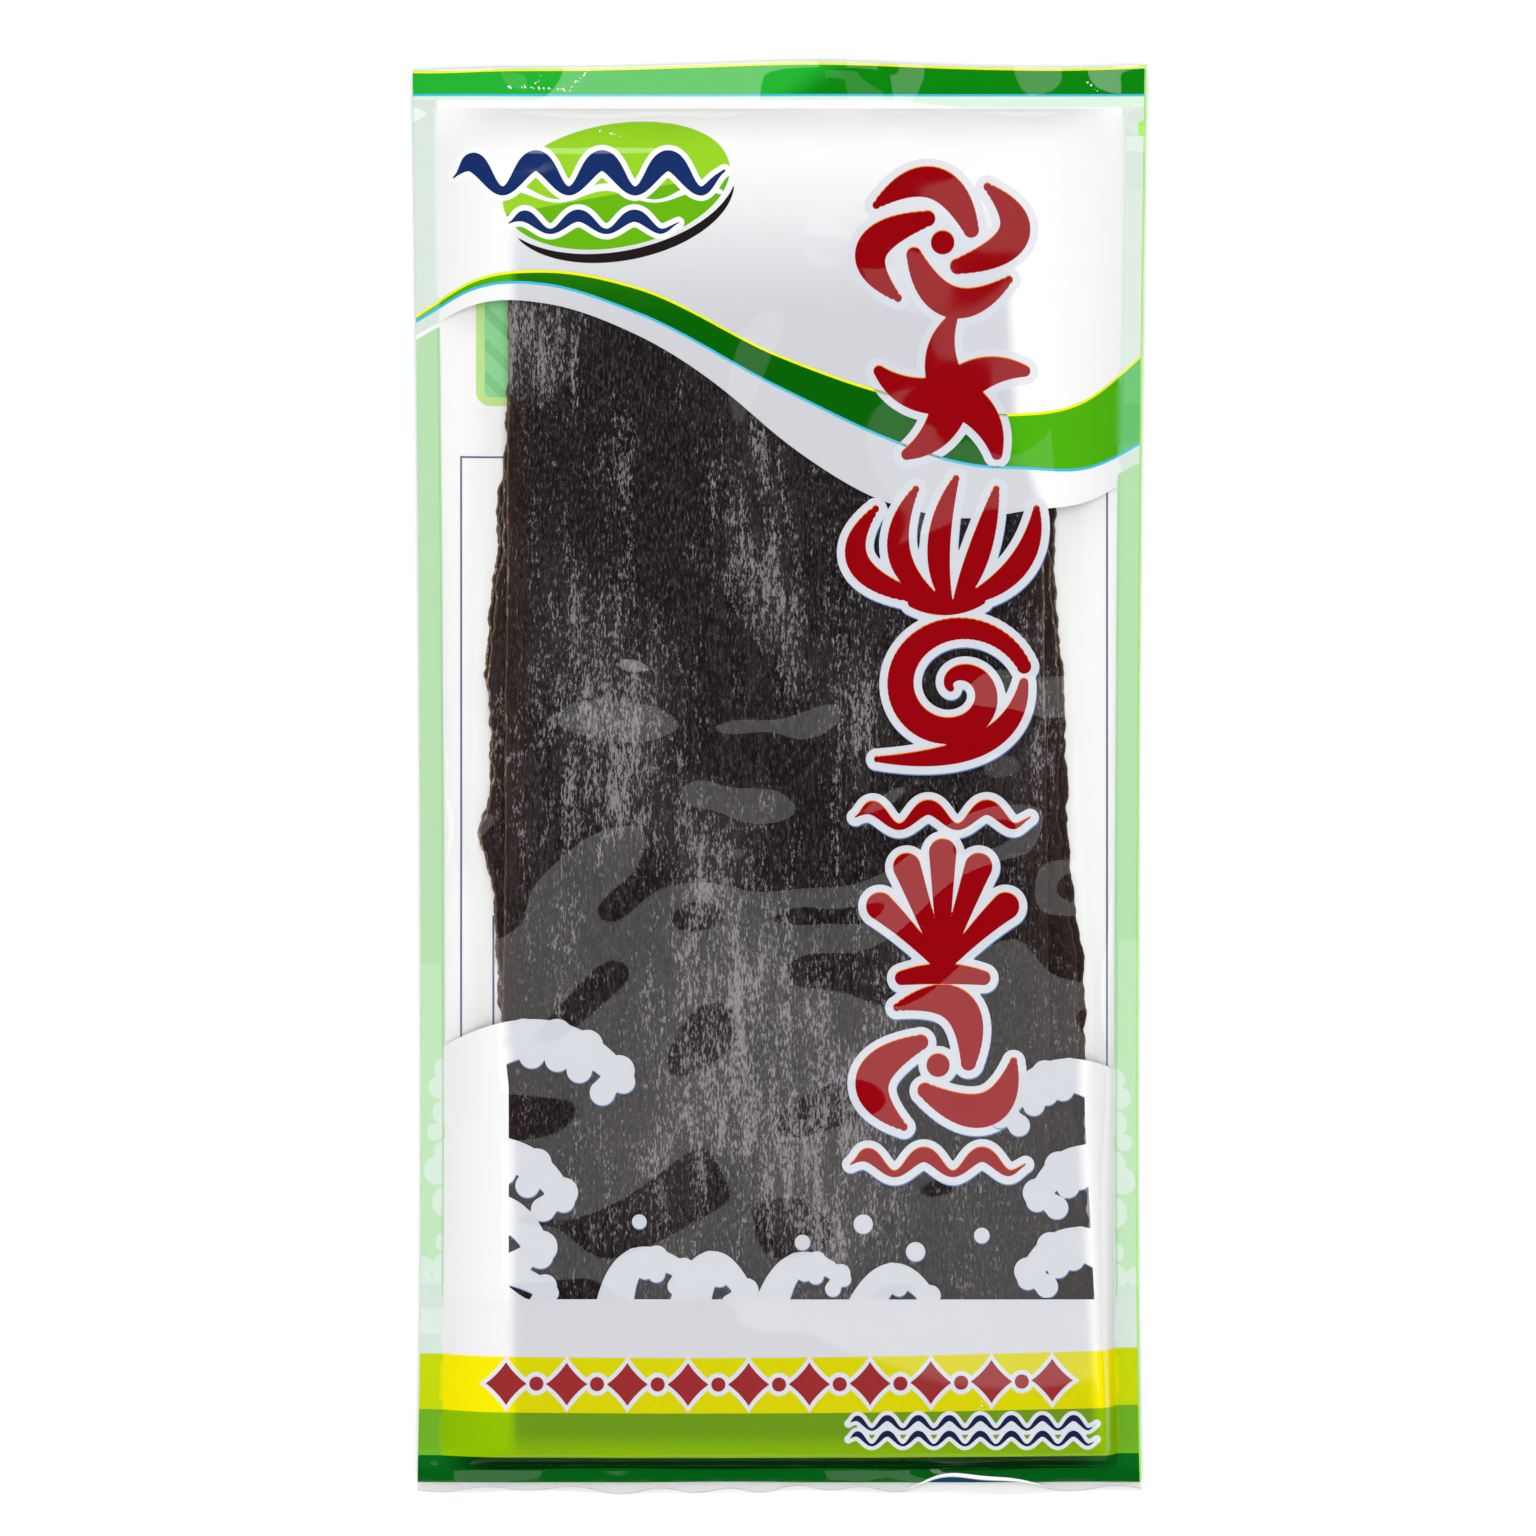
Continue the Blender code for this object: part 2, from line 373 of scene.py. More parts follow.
def refine(points, triangles, rounds=1):
    """Each triangle becomes four, through the middles of its sides, so that the finer
    mesh lies exactly in the planes of the coarse one."""
    for _ in range(rounds):
        edges = np.sort(triangles[:, [0, 1, 1, 2, 2, 0]].reshape(-1, 2), axis=1)
        unique, back = np.unique(edges, axis=0, return_inverse=True)
        middle = back.reshape(-1, 3) + len(points)
        points = np.concatenate([points, points[unique].mean(axis=1)])
        a, b, c = triangles.T
        ab, bc, ca = middle.T
        triangles = np.concatenate(
            [np.stack(t, 1) for t in ((a, ab, ca), (ab, b, bc), (ca, bc, c), (ab, bc, ca))]
        )
    return points, triangles


def clip(points, triangles, field):
    """The part of a triangle mesh where a field is positive: whole triangles are kept,
    and those that the zero line crosses are cut where the field, taken as straight
    along each side, is zero."""
    inside = field > 0
    count = inside[triangles].sum(axis=1)
    kept = triangles[count == 3]

    def turned(rows, alone):
        first = np.argmax(inside[rows] == alone, axis=1)
        order = (first[:, None] + np.arange(3)) % 3
        return np.take_along_axis(rows, order, axis=1)

    one = turned(triangles[count == 1], True)
    two = turned(triangles[count == 2], False)
    pairs = np.concatenate([one[:, [0, 1]], one[:, [0, 2]], two[:, [0, 1]], two[:, [0, 2]]])
    if len(pairs) == 0:
        return tidy_points(points, kept)
    unique, back = np.unique(np.sort(pairs, axis=1), axis=0, return_inverse=True)
    back = back.ravel()
    f0, f1 = field[unique[:, 0]], field[unique[:, 1]]
    t = (f0 / (f0 - f1))[:, None]
    cut = points[unique[:, 0]] * (1 - t) + points[unique[:, 1]] * t
    number = back + len(points)
    n1, n2 = len(one), len(two)
    one_b, one_c = number[:n1], number[n1 : 2 * n1]
    two_b, two_c = number[2 * n1 : 2 * n1 + n2], number[2 * n1 + n2 :]
    corner = np.stack([one[:, 0], one_b, one_c], 1)
    wedge = np.stack([two_b, two[:, 1], two[:, 2]], 1)
    rest = np.stack([two_b, two[:, 2], two_c], 1)
    return tidy_points(np.concatenate([points, cut]), np.concatenate([kept, corner, wedge, rest]))


def tidy_points(points, triangles):
    """Drops points that no triangle uses, and slivers with two equal corners."""
    a, b, c = triangles.T
    triangles = triangles[(a != b) & (b != c) & (c != a)]
    used, back = np.unique(triangles, return_inverse=True)
    return points[used], back.reshape(-1, 3)


def mesh_piece(name, points, faces, material, slot, attributes=None):
    """A mesh object from arrays of points and faces, shaded smooth, that rides on the
    pouch's one body."""
    mesh = bpy.data.meshes.new(name)
    faces = np.asarray(faces, np.int32)
    corners = faces.shape[1]
    mesh.vertices.add(len(points))
    mesh.vertices.foreach_set("co", np.asarray(points, np.float32).ravel())
    mesh.loops.add(faces.size)
    mesh.loops.foreach_set("vertex_index", faces.ravel())
    mesh.polygons.add(len(faces))
    mesh.polygons.foreach_set("loop_start", np.arange(len(faces), dtype=np.int32) * corners)
    mesh.polygons.foreach_set("use_smooth", np.ones(len(faces), bool))
    mesh.update(calc_edges=True)
    mesh.validate()
    for key, values in (attributes or {}).items():
        layer = mesh.attributes.new(key, "FLOAT", "POINT")
        layer.data.foreach_set("value", np.asarray(values, np.float32).ravel())
    mesh.materials.append(material)
    piece = bpy.data.objects.new(name, mesh)
    bpy.context.scene.collection.objects.link(piece)
    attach(piece, "root")
    return piece


def stroke(start, control, end, widths, steps=26):
    """Discs along a bent brush stroke: centres on a quadratic curve, radii that pass
    smoothly from the first width through the middle one to the last."""
    t = np.linspace(0, 1, steps)[:, None]
    p0, p1, p2 = (np.array(p, float) for p in (start, control, end))
    centres = (1 - t) ** 2 * p0 + 2 * t * (1 - t) * p1 + t**2 * p2
    t = t[:, 0]
    radii = (1 - t) ** 2 * widths[0] + 2 * t * (1 - t) * widths[1] + t**2 * widths[2]
    return np.concatenate([centres, radii[:, None]], axis=1)


def disc_field(points, discs):
    """Depth inside a union of discs: the largest of radius less distance."""
    best = np.full(len(points), -1.0)
    for cx, cy, r in discs:
        best = np.maximum(best, r - np.hypot(points[:, 0] - cx, points[:, 1] - cy))
    return best


# --- Materials ------------------------------------------------------------------------
def linear(colour):
    """A display colour (0 to 255) as linear light."""
    c = np.array(colour, float) / 255.0
    return tuple(np.where(c <= 0.04045, c / 12.92, ((c + 0.055) / 1.055) ** 2.4))


def start_material(name):
    """An empty node material with its output."""
    made = bpy.data.materials.new(name)
    made.use_nodes = True
    tree = made.node_tree
    tree.nodes.clear()
    return made, tree, tree.nodes.new("ShaderNodeOutputMaterial")


def colour_mix(tree, factor, first, second):
    """Mix two colours: each is a socket or a linear colour."""
    node = tree.nodes.new("ShaderNodeMix")
    node.data_type = "RGBA"
    for socket, value in ((node.inputs[0], factor), (node.inputs[6], first), (node.inputs[7], second)):
        if isinstance(value, bpy.types.NodeSocket):
            tree.links.new(value, socket)
        elif isinstance(value, (int, float)):
            socket.default_value = value
        else:
            socket.default_value = (*value[:3], 1.0)
    return node.outputs[2]


def attribute(tree, name):
    """A piece's own point value as a number socket."""
    node = tree.nodes.new("ShaderNodeAttribute")
    node.attribute_name = name
    return node.outputs["Fac"]


def object_noise(tree, scale, stretch=(1, 1, 1), detail=4.0, rough=0.55, distort=0.0):
    """Noise on Object coordinates, stretched by a Mapping node."""
    where = tree.nodes.new("ShaderNodeTexCoord")
    mapping = tree.nodes.new("ShaderNodeMapping")
    mapping.inputs["Scale"].default_value = stretch
    noise = tree.nodes.new("ShaderNodeTexNoise")
    noise.inputs["Scale"].default_value = scale
    noise.inputs["Detail"].default_value = detail
    noise.inputs["Roughness"].default_value = rough
    noise.inputs["Distortion"].default_value = distort
    tree.links.new(where.outputs["Object"], mapping.inputs["Vector"])
    tree.links.new(mapping.outputs["Vector"], noise.inputs["Vector"])
    return noise.outputs["Fac"]


def ramp(tree, value, low, high):
    """Straight ramp of a number from 0 at low to 1 at high."""
    node = tree.nodes.new("ShaderNodeMapRange")
    node.inputs["From Min"].default_value = low
    node.inputs["From Max"].default_value = high
    tree.links.new(value, node.inputs["Value"])
    return node.outputs["Result"]


def number(tree, operation, first, second):
    """One arithmetic step on numbers or sockets."""
    node = tree.nodes.new("ShaderNodeMath")
    node.operation = operation
    for socket, value in zip(node.inputs, (first, second)):
        if isinstance(value, bpy.types.NodeSocket):
            tree.links.new(value, socket)
        else:
            socket.default_value = value
    return node.outputs[0]


def film_material():
    """Clear laminated film: see-through, with a mirror-like gloss that is stronger at
    glancing angles and dulled in the foot's fold, and faint haze in the plain lips."""
    made, tree, out = start_material("clear_film")
    facing = tree.nodes.new("ShaderNodeLayerWeight")
    facing.inputs["Blend"].default_value = 0.5
    rise = number(tree, "POWER", facing.outputs["Facing"], 4.0)
    gloss_share = number(tree, "ADD", number(tree, "MULTIPLY", rise, 0.75), 0.075)
    gloss_share = number(tree, "MULTIPLY", gloss_share, number(tree, "SUBTRACT", 1.0, attribute(tree, "dull")))
    clear = tree.nodes.new("ShaderNodeBsdfTransparent")
    clear.inputs["Color"].default_value = (0.995, 0.997, 0.995, 1)
    gloss = tree.nodes.new("ShaderNodeBsdfGlossy")
    gloss.inputs["Roughness"].default_value = 0.02
    haze = tree.nodes.new("ShaderNodeBsdfDiffuse")
    haze.inputs["Color"].default_value = (0.50, 0.51, 0.50, 1)
    shine = tree.nodes.new("ShaderNodeMixShader")
    tree.links.new(gloss_share, shine.inputs[0])
    tree.links.new(clear.outputs[0], shine.inputs[1])
    tree.links.new(gloss.outputs[0], shine.inputs[2])
    milky = tree.nodes.new("ShaderNodeMixShader")
    tree.links.new(attribute(tree, "haze"), milky.inputs[0])
    tree.links.new(shine.outputs[0], milky.inputs[1])
    tree.links.new(haze.outputs[0], milky.inputs[2])
    tree.links.new(milky.outputs[0], out.inputs["Surface"])
    return made


def ink_material(name, plain, over_kelp_and_painted_lit=None, over_weld=None, roughness=0.45):
    """Flat ink: one colour over the pale back, another where kelp lies behind it and a
    third over the welds, with slight unevenness of the coat. The second colour is the dark
    kelp seen through the thin ink, partly painted shade; on the top band the same slot
    holds a painted reflection that lightens the band's left part."""
    made, tree, out = start_material(name)
    shader = tree.nodes.new("ShaderNodeBsdfPrincipled")
    colour = linear(plain)
    if over_kelp_and_painted_lit is not None:
        colour = colour_mix(tree, attribute(tree, "behind"), colour, linear(over_kelp_and_painted_lit))
    if over_weld is not None:
        colour = colour_mix(tree, attribute(tree, "weld"), colour, linear(over_weld))
    mottle = ramp(tree, object_noise(tree, 160.0, detail=3.0), 0.3, 0.7)
    shade = tree.nodes.new("ShaderNodeMix")
    shade.data_type = "RGBA"
    shade.blend_type = "MULTIPLY"
    tree.links.new(number(tree, "MULTIPLY", mottle, 0.05), shade.inputs[0])
    if isinstance(colour, bpy.types.NodeSocket):
        tree.links.new(colour, shade.inputs[6])
    else:
        shade.inputs[6].default_value = (*colour, 1.0)
    shade.inputs[7].default_value = (0.8, 0.8, 0.8, 1.0)
    tree.links.new(shade.outputs[2], shader.inputs["Base Color"])
    shader.inputs["Roughness"].default_value = roughness
    shader.inputs["Specular IOR Level"].default_value = 0.0
    tree.links.new(shader.outputs[0], out.inputs["Surface"])
    return made


def back_film_material():
    """White laminated film, satin, very slightly mottled."""
    return ink_material("white_back_film", (247, 247, 246), roughness=0.30)


def kelp_material(looks):
    """Dried kelp: brown-black with a fine grain along the sheet, paler brown rims, tan cut
    edges, and whitish salt bloom whose short streaks crowd together in patches."""
    made, tree, out = start_material("dried_kelp")
    shader = tree.nodes.new("ShaderNodeBsdfPrincipled")
    grain = object_noise(tree, 1000.0, (1.5, 0.12, 1.0), detail=5.0, rough=0.70)
    fine = object_noise(tree, 1000.0, (2.2, 0.62, 1.0), detail=2.0, rough=0.80, distort=0.3)
    streak = object_noise(tree, 1000.0, (0.30, 0.050, 1.0), detail=4.0, rough=0.62, distort=0.6)
    slow = object_noise(tree, 1000.0, (0.045, 0.020, 1.0), detail=3.0, rough=0.55, distort=0.4)
    bloom = attribute(tree, "bloom")
    body = colour_mix(tree, ramp(tree, grain, 0.34, 0.68), tuple(looks.dark), tuple(looks.light))
    tint = number(tree, "MULTIPLY", ramp(tree, slow, 0.46, 0.66), 0.25)
    body = colour_mix(tree, tint, body, tuple(looks.brown))
    fleck = number(tree, "MULTIPLY", ramp(tree, fine, 0.49, 0.66), 0.66)
    body = colour_mix(tree, fleck, body, tuple(looks.fleck))
    rim = number(tree, "MULTIPLY", attribute(tree, "rim"), ramp(tree, streak, 0.20, 0.60))
    body = colour_mix(tree, rim, body, tuple(looks.brown))
    veil = number(tree, "ADD", number(tree, "MULTIPLY", bloom, 0.50), slow)
    veil = number(tree, "MULTIPLY", ramp(tree, number(tree, "ADD", veil, grain), 1.15, 1.80), 0.50)
    body = colour_mix(tree, veil, body, tuple(looks.veil))
    crowd = number(tree, "ADD", fine, number(tree, "MULTIPLY", streak, 0.75))
    crowd = number(tree, "ADD", crowd, number(tree, "MULTIPLY", bloom, 0.30))
    crowd = number(tree, "ADD", crowd, number(tree, "MULTIPLY", slow, 0.25))
    cover = number(tree, "MULTIPLY", ramp(tree, crowd, 1.23, 1.38), looks.bloom_cover)
    body = colour_mix(tree, cover, body, tuple(looks.bloom))
    notch = object_noise(tree, 1000.0, (0.25, 0.42, 0.4), detail=2.0, rough=0.60)
    nick = number(tree, "ADD", ramp(tree, notch, 0.56, 0.64), 0.30)
    edge = number(tree, "MULTIPLY", attribute(tree, "cut"), nick)
    body = colour_mix(tree, edge, body, tuple(looks.cut_edge))
    speck = number(tree, "ADD", number(tree, "MULTIPLY", attribute(tree, "tan"), 0.5), fine)
    speck = number(tree, "MULTIPLY", ramp(tree, speck, 0.88, 1.02), attribute(tree, "tan"))
    body = colour_mix(tree, speck, body, tuple(looks.cut_edge))
    tree.links.new(body, shader.inputs["Base Color"])
    rough = tree.nodes.new("ShaderNodeMapRange")
    rough.inputs["To Min"].default_value = 0.62
    rough.inputs["To Max"].default_value = 0.92
    tree.links.new(cover, rough.inputs["Value"])
    tree.links.new(rough.outputs["Result"], shader.inputs["Roughness"])
    shader.inputs["Specular IOR Level"].default_value = 0.12
    relief = tree.nodes.new("ShaderNodeBump")
    relief.inputs["Strength"].default_value = 0.5
    relief.inputs["Distance"].default_value = 0.25 * MM
    tree.links.new(number(tree, "ADD", grain, crowd), relief.inputs["Height"])
    tree.links.new(relief.outputs["Normal"], shader.inputs["Normal"])
    tree.links.new(shader.outputs[0], out.inputs["Surface"])
    return made


# --- Settings that a user would change --------------------------------------------------
def colour_setting(name, description, default):
    """A colour property with a linear default."""
    return FloatVectorProperty(
        name=name, description=description, subtype="COLOR", size=3, min=0, max=1, default=default
    )


def length_setting(name, description, default, low=0.0, high=0.02):
    """A length property in metres."""
    return FloatProperty(
        name=name, description=description, default=default, min=low, max=high,
        unit="LENGTH", subtype="DISTANCE", precision=5,
    )


class KelpPouchSizes(bpy.types.PropertyGroup):
    """Sizes of the film's slackness, the sheets and the printed lines."""

    ripple_depth: length_setting("Ripple depth", "Height of the film's slow waves", 0.40 * MM)
    pucker_depth: length_setting("Pucker depth", "Height of the pleats at the welds", 0.16 * MM)
    sheet_thickness: length_setting("Sheet thickness", "Thickness of one kelp sheet", 1.1 * MM)
    fray_depth: length_setting("Fray depth", "How ragged the sheets' sides are", 1.3 * MM)
    edge_line: length_setting("Edge line", "Width of the thin colour lines", 0.50 * MM)
    outline: length_setting("Outline", "Width of the white outlines", 1.75 * MM)
    frame_line: length_setting("Frame line", "Width of the line on the back", 0.42 * MM)


class KelpPouchLooks(bpy.types.PropertyGroup):
    """Colours of the kelp and how much salt bloom it has."""

    dark: colour_setting("Dark kelp", "Darkest surface colour", linear((14, 9, 10)))
    light: colour_setting("Light kelp", "Colour between the grain lines", linear((33, 27, 28)))
    fleck: colour_setting("Fleck", "Colour of the small pale flecks", linear((80, 74, 76)))
    veil: colour_setting("Veil", "Colour of the greyish veil", linear((80, 74, 75)))
    brown: colour_setting("Brown rim", "Colour at thin edges", linear((50, 36, 29)))
    cut_edge: colour_setting("Cut edge", "Colour of the trimmed edges", linear((176, 150, 122)))
    bloom: colour_setting("Salt bloom", "Colour of the salt bloom", linear((150, 144, 149)))
    bloom_cover: FloatProperty(
        name="Bloom cover", description="How dense the salt bloom is", default=0.75, min=0, max=1
    )


class KelpPouchStudio(bpy.types.PropertyGroup):
    """Floor colour and light strengths."""

    floor: colour_setting("Floor", "Colour of the plain floor", (0.96, 0.96, 0.96))
    side_power: FloatProperty(
        name="Corner lights", description="Power of each corner light", default=15.0, unit="POWER"
    )
    overhead_power: FloatProperty(
        name="Overhead light", description="Power of the overhead light", default=23.0, unit="POWER"
    )
    top_radiance: FloatProperty(
        name="Top lights", description="Brightness of the overhead strips", default=1.0
    )


# --- Pieces -----------------------------------------------------------------------------
def film_points(sizes):
    """Points and triangles of the front film."""
    x, y = film_grid(front_foot)
    z = front_height(x, y, sizes)
    points = np.stack([x.ravel(), y.ravel(), z.ravel()], 1)
    return points, grid_triangles(*x.shape)


def back_points():
    """Points and triangles of the back film."""
    x, y = film_grid(bottom_cut)
    z = back_height(x, y)
    points = np.stack([x.ravel(), y.ravel(), z.ravel()], 1)
    return points, grid_triangles(*x.shape)


def kelp_behind(x, y, right_soft=3.0 * MM):
    """1 where the kelp lies close behind the print, soft at the stack's edges and fading
    out towards the header's top, where the film stands off. There the inks take their
    darker colour: the kelp seen through the thin ink, partly painted shade of the kelp."""
    left = smooth((x - stack_left(y)) / (3.0 * MM))
    right = smooth((stack_right(y) - 6.0 * MM * smooth((y - 0.05) / 0.03) - x) / right_soft)
    foot = smooth((y + 0.1495) / (8.0 * MM))
    head = smooth((0.1400 - y) / 0.042)
    return left * right * foot * head


def on_weld(x, y):
    """1 on the welded side strips, with a narrow soft step at their inner edges."""
    inner = half_width(y) - SIDE_WELD
    return smooth((np.abs(x) - inner) / (0.3 * MM) + 0.5)


def front_print_area(points):
    """Depth inside the part of the front film that carries ink: short of the right edge,
    and above the clear lip and the open place in it."""
    x, y = points[:, 0], points[:, 1]
    right = half_width(y) - BACK_EDGE_SHOWS - x
    foot = y - np.maximum(FOOT_PRINT_LOW, front_foot(x) + 1.2 * MM * lip_open(x) ** 0.5)
    return np.minimum(right, foot)


def refine_rim(points, triangles, values, rounds):
    """Refines the triangles near a field's zero line, keeps those well inside as they are,
    and drops those well outside."""
    at = values[triangles]
    near = (np.abs(at) < RIM_REACH).any(axis=1)
    whole = (at >= RIM_REACH).all(axis=1)
    fine_points, fine = refine(*tidy_points(points, triangles[near]), rounds)
    return np.concatenate([points, fine_points]), np.concatenate([triangles[whole], fine + len(points)])


def printed(name, base, field, depth, material, slot="white_print", rounds=0, slip=(0.0, 0.0),
            behind=kelp_behind, weld=on_weld):
    """A printed shape: the film's own triangles, refined near the shape, clipped by the
    field and moved down by the ink's depth, so that it stays parallel to the film. Slip
    is how far the plate was out of register, in metres; behind and weld say where the
    ink takes its second and third colour."""
    points, triangles = base

    def shape(p):
        return np.minimum(field(p - np.array([slip[0], slip[1], 0.0])), front_print_area(p))

    if rounds:
        points, triangles = refine_rim(points, triangles, shape(points), rounds)
    points, triangles = clip(points, triangles, shape(points))
    x, y = points[:, 0], points[:, 1]
    values = {"behind": behind(x, y), "weld": weld(x, y)}
    points = points - np.array([0, 0, depth])
    return mesh_piece(name, points, triangles, material, slot, values)


def back_printed(name, base, field, side, material, slot="green_print", rounds=1):
    """A shape printed on the back film: side 1 is its inner face, side -1 its outer face,
    seen from below."""
    points, triangles = base
    points, triangles = refine_rim(points, triangles, field(points), rounds)
    points, triangles = clip(points, triangles, field(points))
    points = points + np.array([0, 0, side * BACK_INK])
    if side < 0:
        triangles = triangles[:, ::-1]
    return mesh_piece(name, points, triangles, material, slot)


def between(upper, lower):
    """A field that is positive between two curves over X."""
    return lambda p: np.minimum(upper(p[:, 0]) - p[:, 1], p[:, 1] - lower(p[:, 0]))


def level(value):
    """A curve over X that stays at one height."""
    return lambda x: value + 0 * x


def box_field(left, right, low, high, corner=0.0):
    """Depth inside a box with rounded corners."""
    middle = np.array([(left + right) / 2, (low + high) / 2])
    half = np.array([(right - left) / 2, (high - low) / 2]) - corner

    def field(points):
        away = np.abs(points[:, :2] - middle) - half
        outside = np.hypot(np.maximum(away[:, 0], 0), np.maximum(away[:, 1], 0))
        return corner - outside - np.minimum(away.max(axis=1), 0)

    return field


def all_of(*fields):
    """The overlap of several shapes: the smallest of their fields."""
    return lambda points: np.minimum.reduce([field(points) for field in fields])


def less(field, hole):
    """A shape with another cut out of it."""
    return lambda points: np.minimum(field(points), -hole(points))


def any_of(*fields):
    """The union of several shapes: the largest of their fields."""
    return lambda points: np.maximum.reduce([field(points) for field in fields])


class KELPPOUCH_OT_films(bpy.types.Operator):
    """Make the clear front film and the white back film"""

    bl_idname = "kelp_pouch.films"
    bl_label = "Films"

    def execute(self, context):
        sizes = context.scene.kelp_pouch_sizes
        clear = film_material()
        points, triangles = film_points(sizes)
        x, y = points[:, 0], points[:, 1]
        lip = smooth((FOOT_PRINT_LOW + 0.2 * MM - y) / (0.4 * MM))
        rim = smooth((y - top_cut(x) + 0.7 * MM) / (0.5 * MM))
        fold = bump((gutters(x, y)[2] - 0.42) / 0.62)
        values = {"haze": np.maximum(0.09 * lip, 0.16 * rim), "dull": 0.85 * fold}
        front = mesh_piece("front_film", points, triangles, clear, "film", values)
        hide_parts(NODE)

        points, triangles = back_points()
        down = triangles[:, ::-1]
        above_lip = points[:, 1] - FOOT_PRINT_LOW
        white_points, white_triangles = clip(points, down, above_lip)
        mesh_piece("back_film", white_points, white_triangles, back_film_material(), "film")
        lip_points, lip_triangles = clip(points, down, -above_lip)
        haze = {"haze": np.full(len(lip_points), 0.05)}
        mesh_piece("back_lip", lip_points, lip_triangles, clear, "film", haze)
        return {"FINISHED"}


def wander(values, seed, scales, depth):
    """Uneven line along one direction: straight steps between random heights at several
    spacings, the finer ones lower."""
    rng = np.random.default_rng(seed)
    total = np.zeros_like(values)
    for k, scale in enumerate(scales):
        knots = np.arange(-0.2, 0.2, scale)
        total += np.interp(values, knots, rng.uniform(-1, 1, len(knots))) * 0.72**k
    return depth * total


def bloom_map(x, y):
    """Where salt bloom gathers: a low even amount plus long soft bell-shaped spots, then
    held back by one less an exponential so that it never closes up."""
    total = np.full_like(x, 0.24)
    for cx, cy, across, along, weight in BLOOM_SPOTS:
        total += weight * np.exp(
            -(((x - cx * MM) / (across * MM)) ** 2) - ((y - cy * MM) / (along * MM)) ** 2
        )
    return 1.15 * (1.0 - np.exp(-total / 0.85))


def tan_spots(x, y):
    """How tan the kelp's face is: the highest of a few small oval humps."""
    humps = [
        strength * bump(np.hypot((x - cx * MM) / (across * MM), (y - cy * MM) / (along * MM)))
        for cx, cy, across, along, strength in TAN_SPOTS
    ]
    return np.maximum.reduce(humps)


def sheet(name, left, right, low, high, middle, sizes, material, seed, grid, fray=1.0,
          trimmed=(0.85, 0.60), spotted=False):
    """One kelp sheet: a grid between ragged side lines, its top and underside half a
    thickness either side of a gently buckled middle surface, joined round the rim by a
    wall that leans out a little. The cut edge is palest on the left, and on the right it
    darkens below the sheet's upper third."""
    rows, columns = grid
    t = np.linspace(0, 1, rows)[:, None]
    s = np.linspace(0, 1, columns - 2)[None, :]
    s = s - 0.06 * np.sin(2 * np.pi * s)  # closer columns at the sides
    first = 0.30 * MM / (right(0.0) - left(0.0))  # a narrow column along each side
    s = np.concatenate([[[0.0]], first + (1 - 2 * first) * s, [[1.0]]], axis=1)
    y0 = low + (high - low) * t
    depth = sizes.fray_depth * fray
    edge_l = left(y0) + wander(y0, seed, (0.014, 0.005, 0.0021, 0.0009), depth * 0.6)
    edge_r = right(y0) + wander(y0, seed + 1, (0.016, 0.006, 0.0023, 0.001), depth * 0.4)
    x = edge_l + (edge_r - edge_l) * s
    y = y0 + wander(x, seed + 2, (0.03, 0.008), 0.4 * MM) * (2 * t - 1)
    buckle = 0.16 * MM * np.sin(x / 0.011 + seed) * np.sin(y / 0.027 + 0.5 * seed)
    away = np.minimum(x - edge_l, edge_r - x)
    curl = 0.22 * MM * np.exp(-away / (2.2 * MM)) * np.sin(y / 0.0085 + seed)
    centre = middle + stack_warp(x, y) * 0.8 + buckle + curl
    half = sizes.sheet_thickness * (0.30 + 0.20 * smooth(away / (1.6 * MM)))
    lean = 0.30 * MM * np.where(s < 0.5, -1.0, 1.0) * (away < 0.01 * MM)
    upper = np.stack([x, y, centre + half], 2).reshape(-1, 3)
    lower = np.stack([x + lean, y, centre - half], 2).reshape(-1, 3)
    top = grid_triangles(rows, columns)
    n = rows * columns
    index = np.arange(n).reshape(rows, columns)
    rim = np.concatenate([index[0], index[1:, -1], index[-1, -2::-1], index[-2:0:-1, 0]])
    after = np.roll(rim, -1)
    wall = np.concatenate(
        [np.stack([rim, rim + n, after + n], 1), np.stack([rim, after + n, after], 1)]
    )
    faces = np.concatenate([top, top[:, ::-1] + n, wall])
    fades = trimmed[1] * (0.15 + 0.85 * smooth((y - 0.010) / 0.016))
    on_edge = np.zeros(n)
    on_edge[rim] = np.where(s + 0 * y < 0.5, trimmed[0], fades).ravel()[rim]
    near = np.exp(-away / (2.4 * MM)).reshape(-1)
    salt = bloom_map(x, y).reshape(-1)
    values = {"rim": near, "cut": on_edge, "bloom": salt}
    values = {key: np.concatenate([value, value]) for key, value in values.items()}
    spots = tan_spots(x, y).ravel() * spotted
    values["tan"] = np.concatenate([spots, np.zeros(n)])  # none on the underside
    return mesh_piece(name, np.concatenate([upper, lower]), faces, material, "kelp", values)


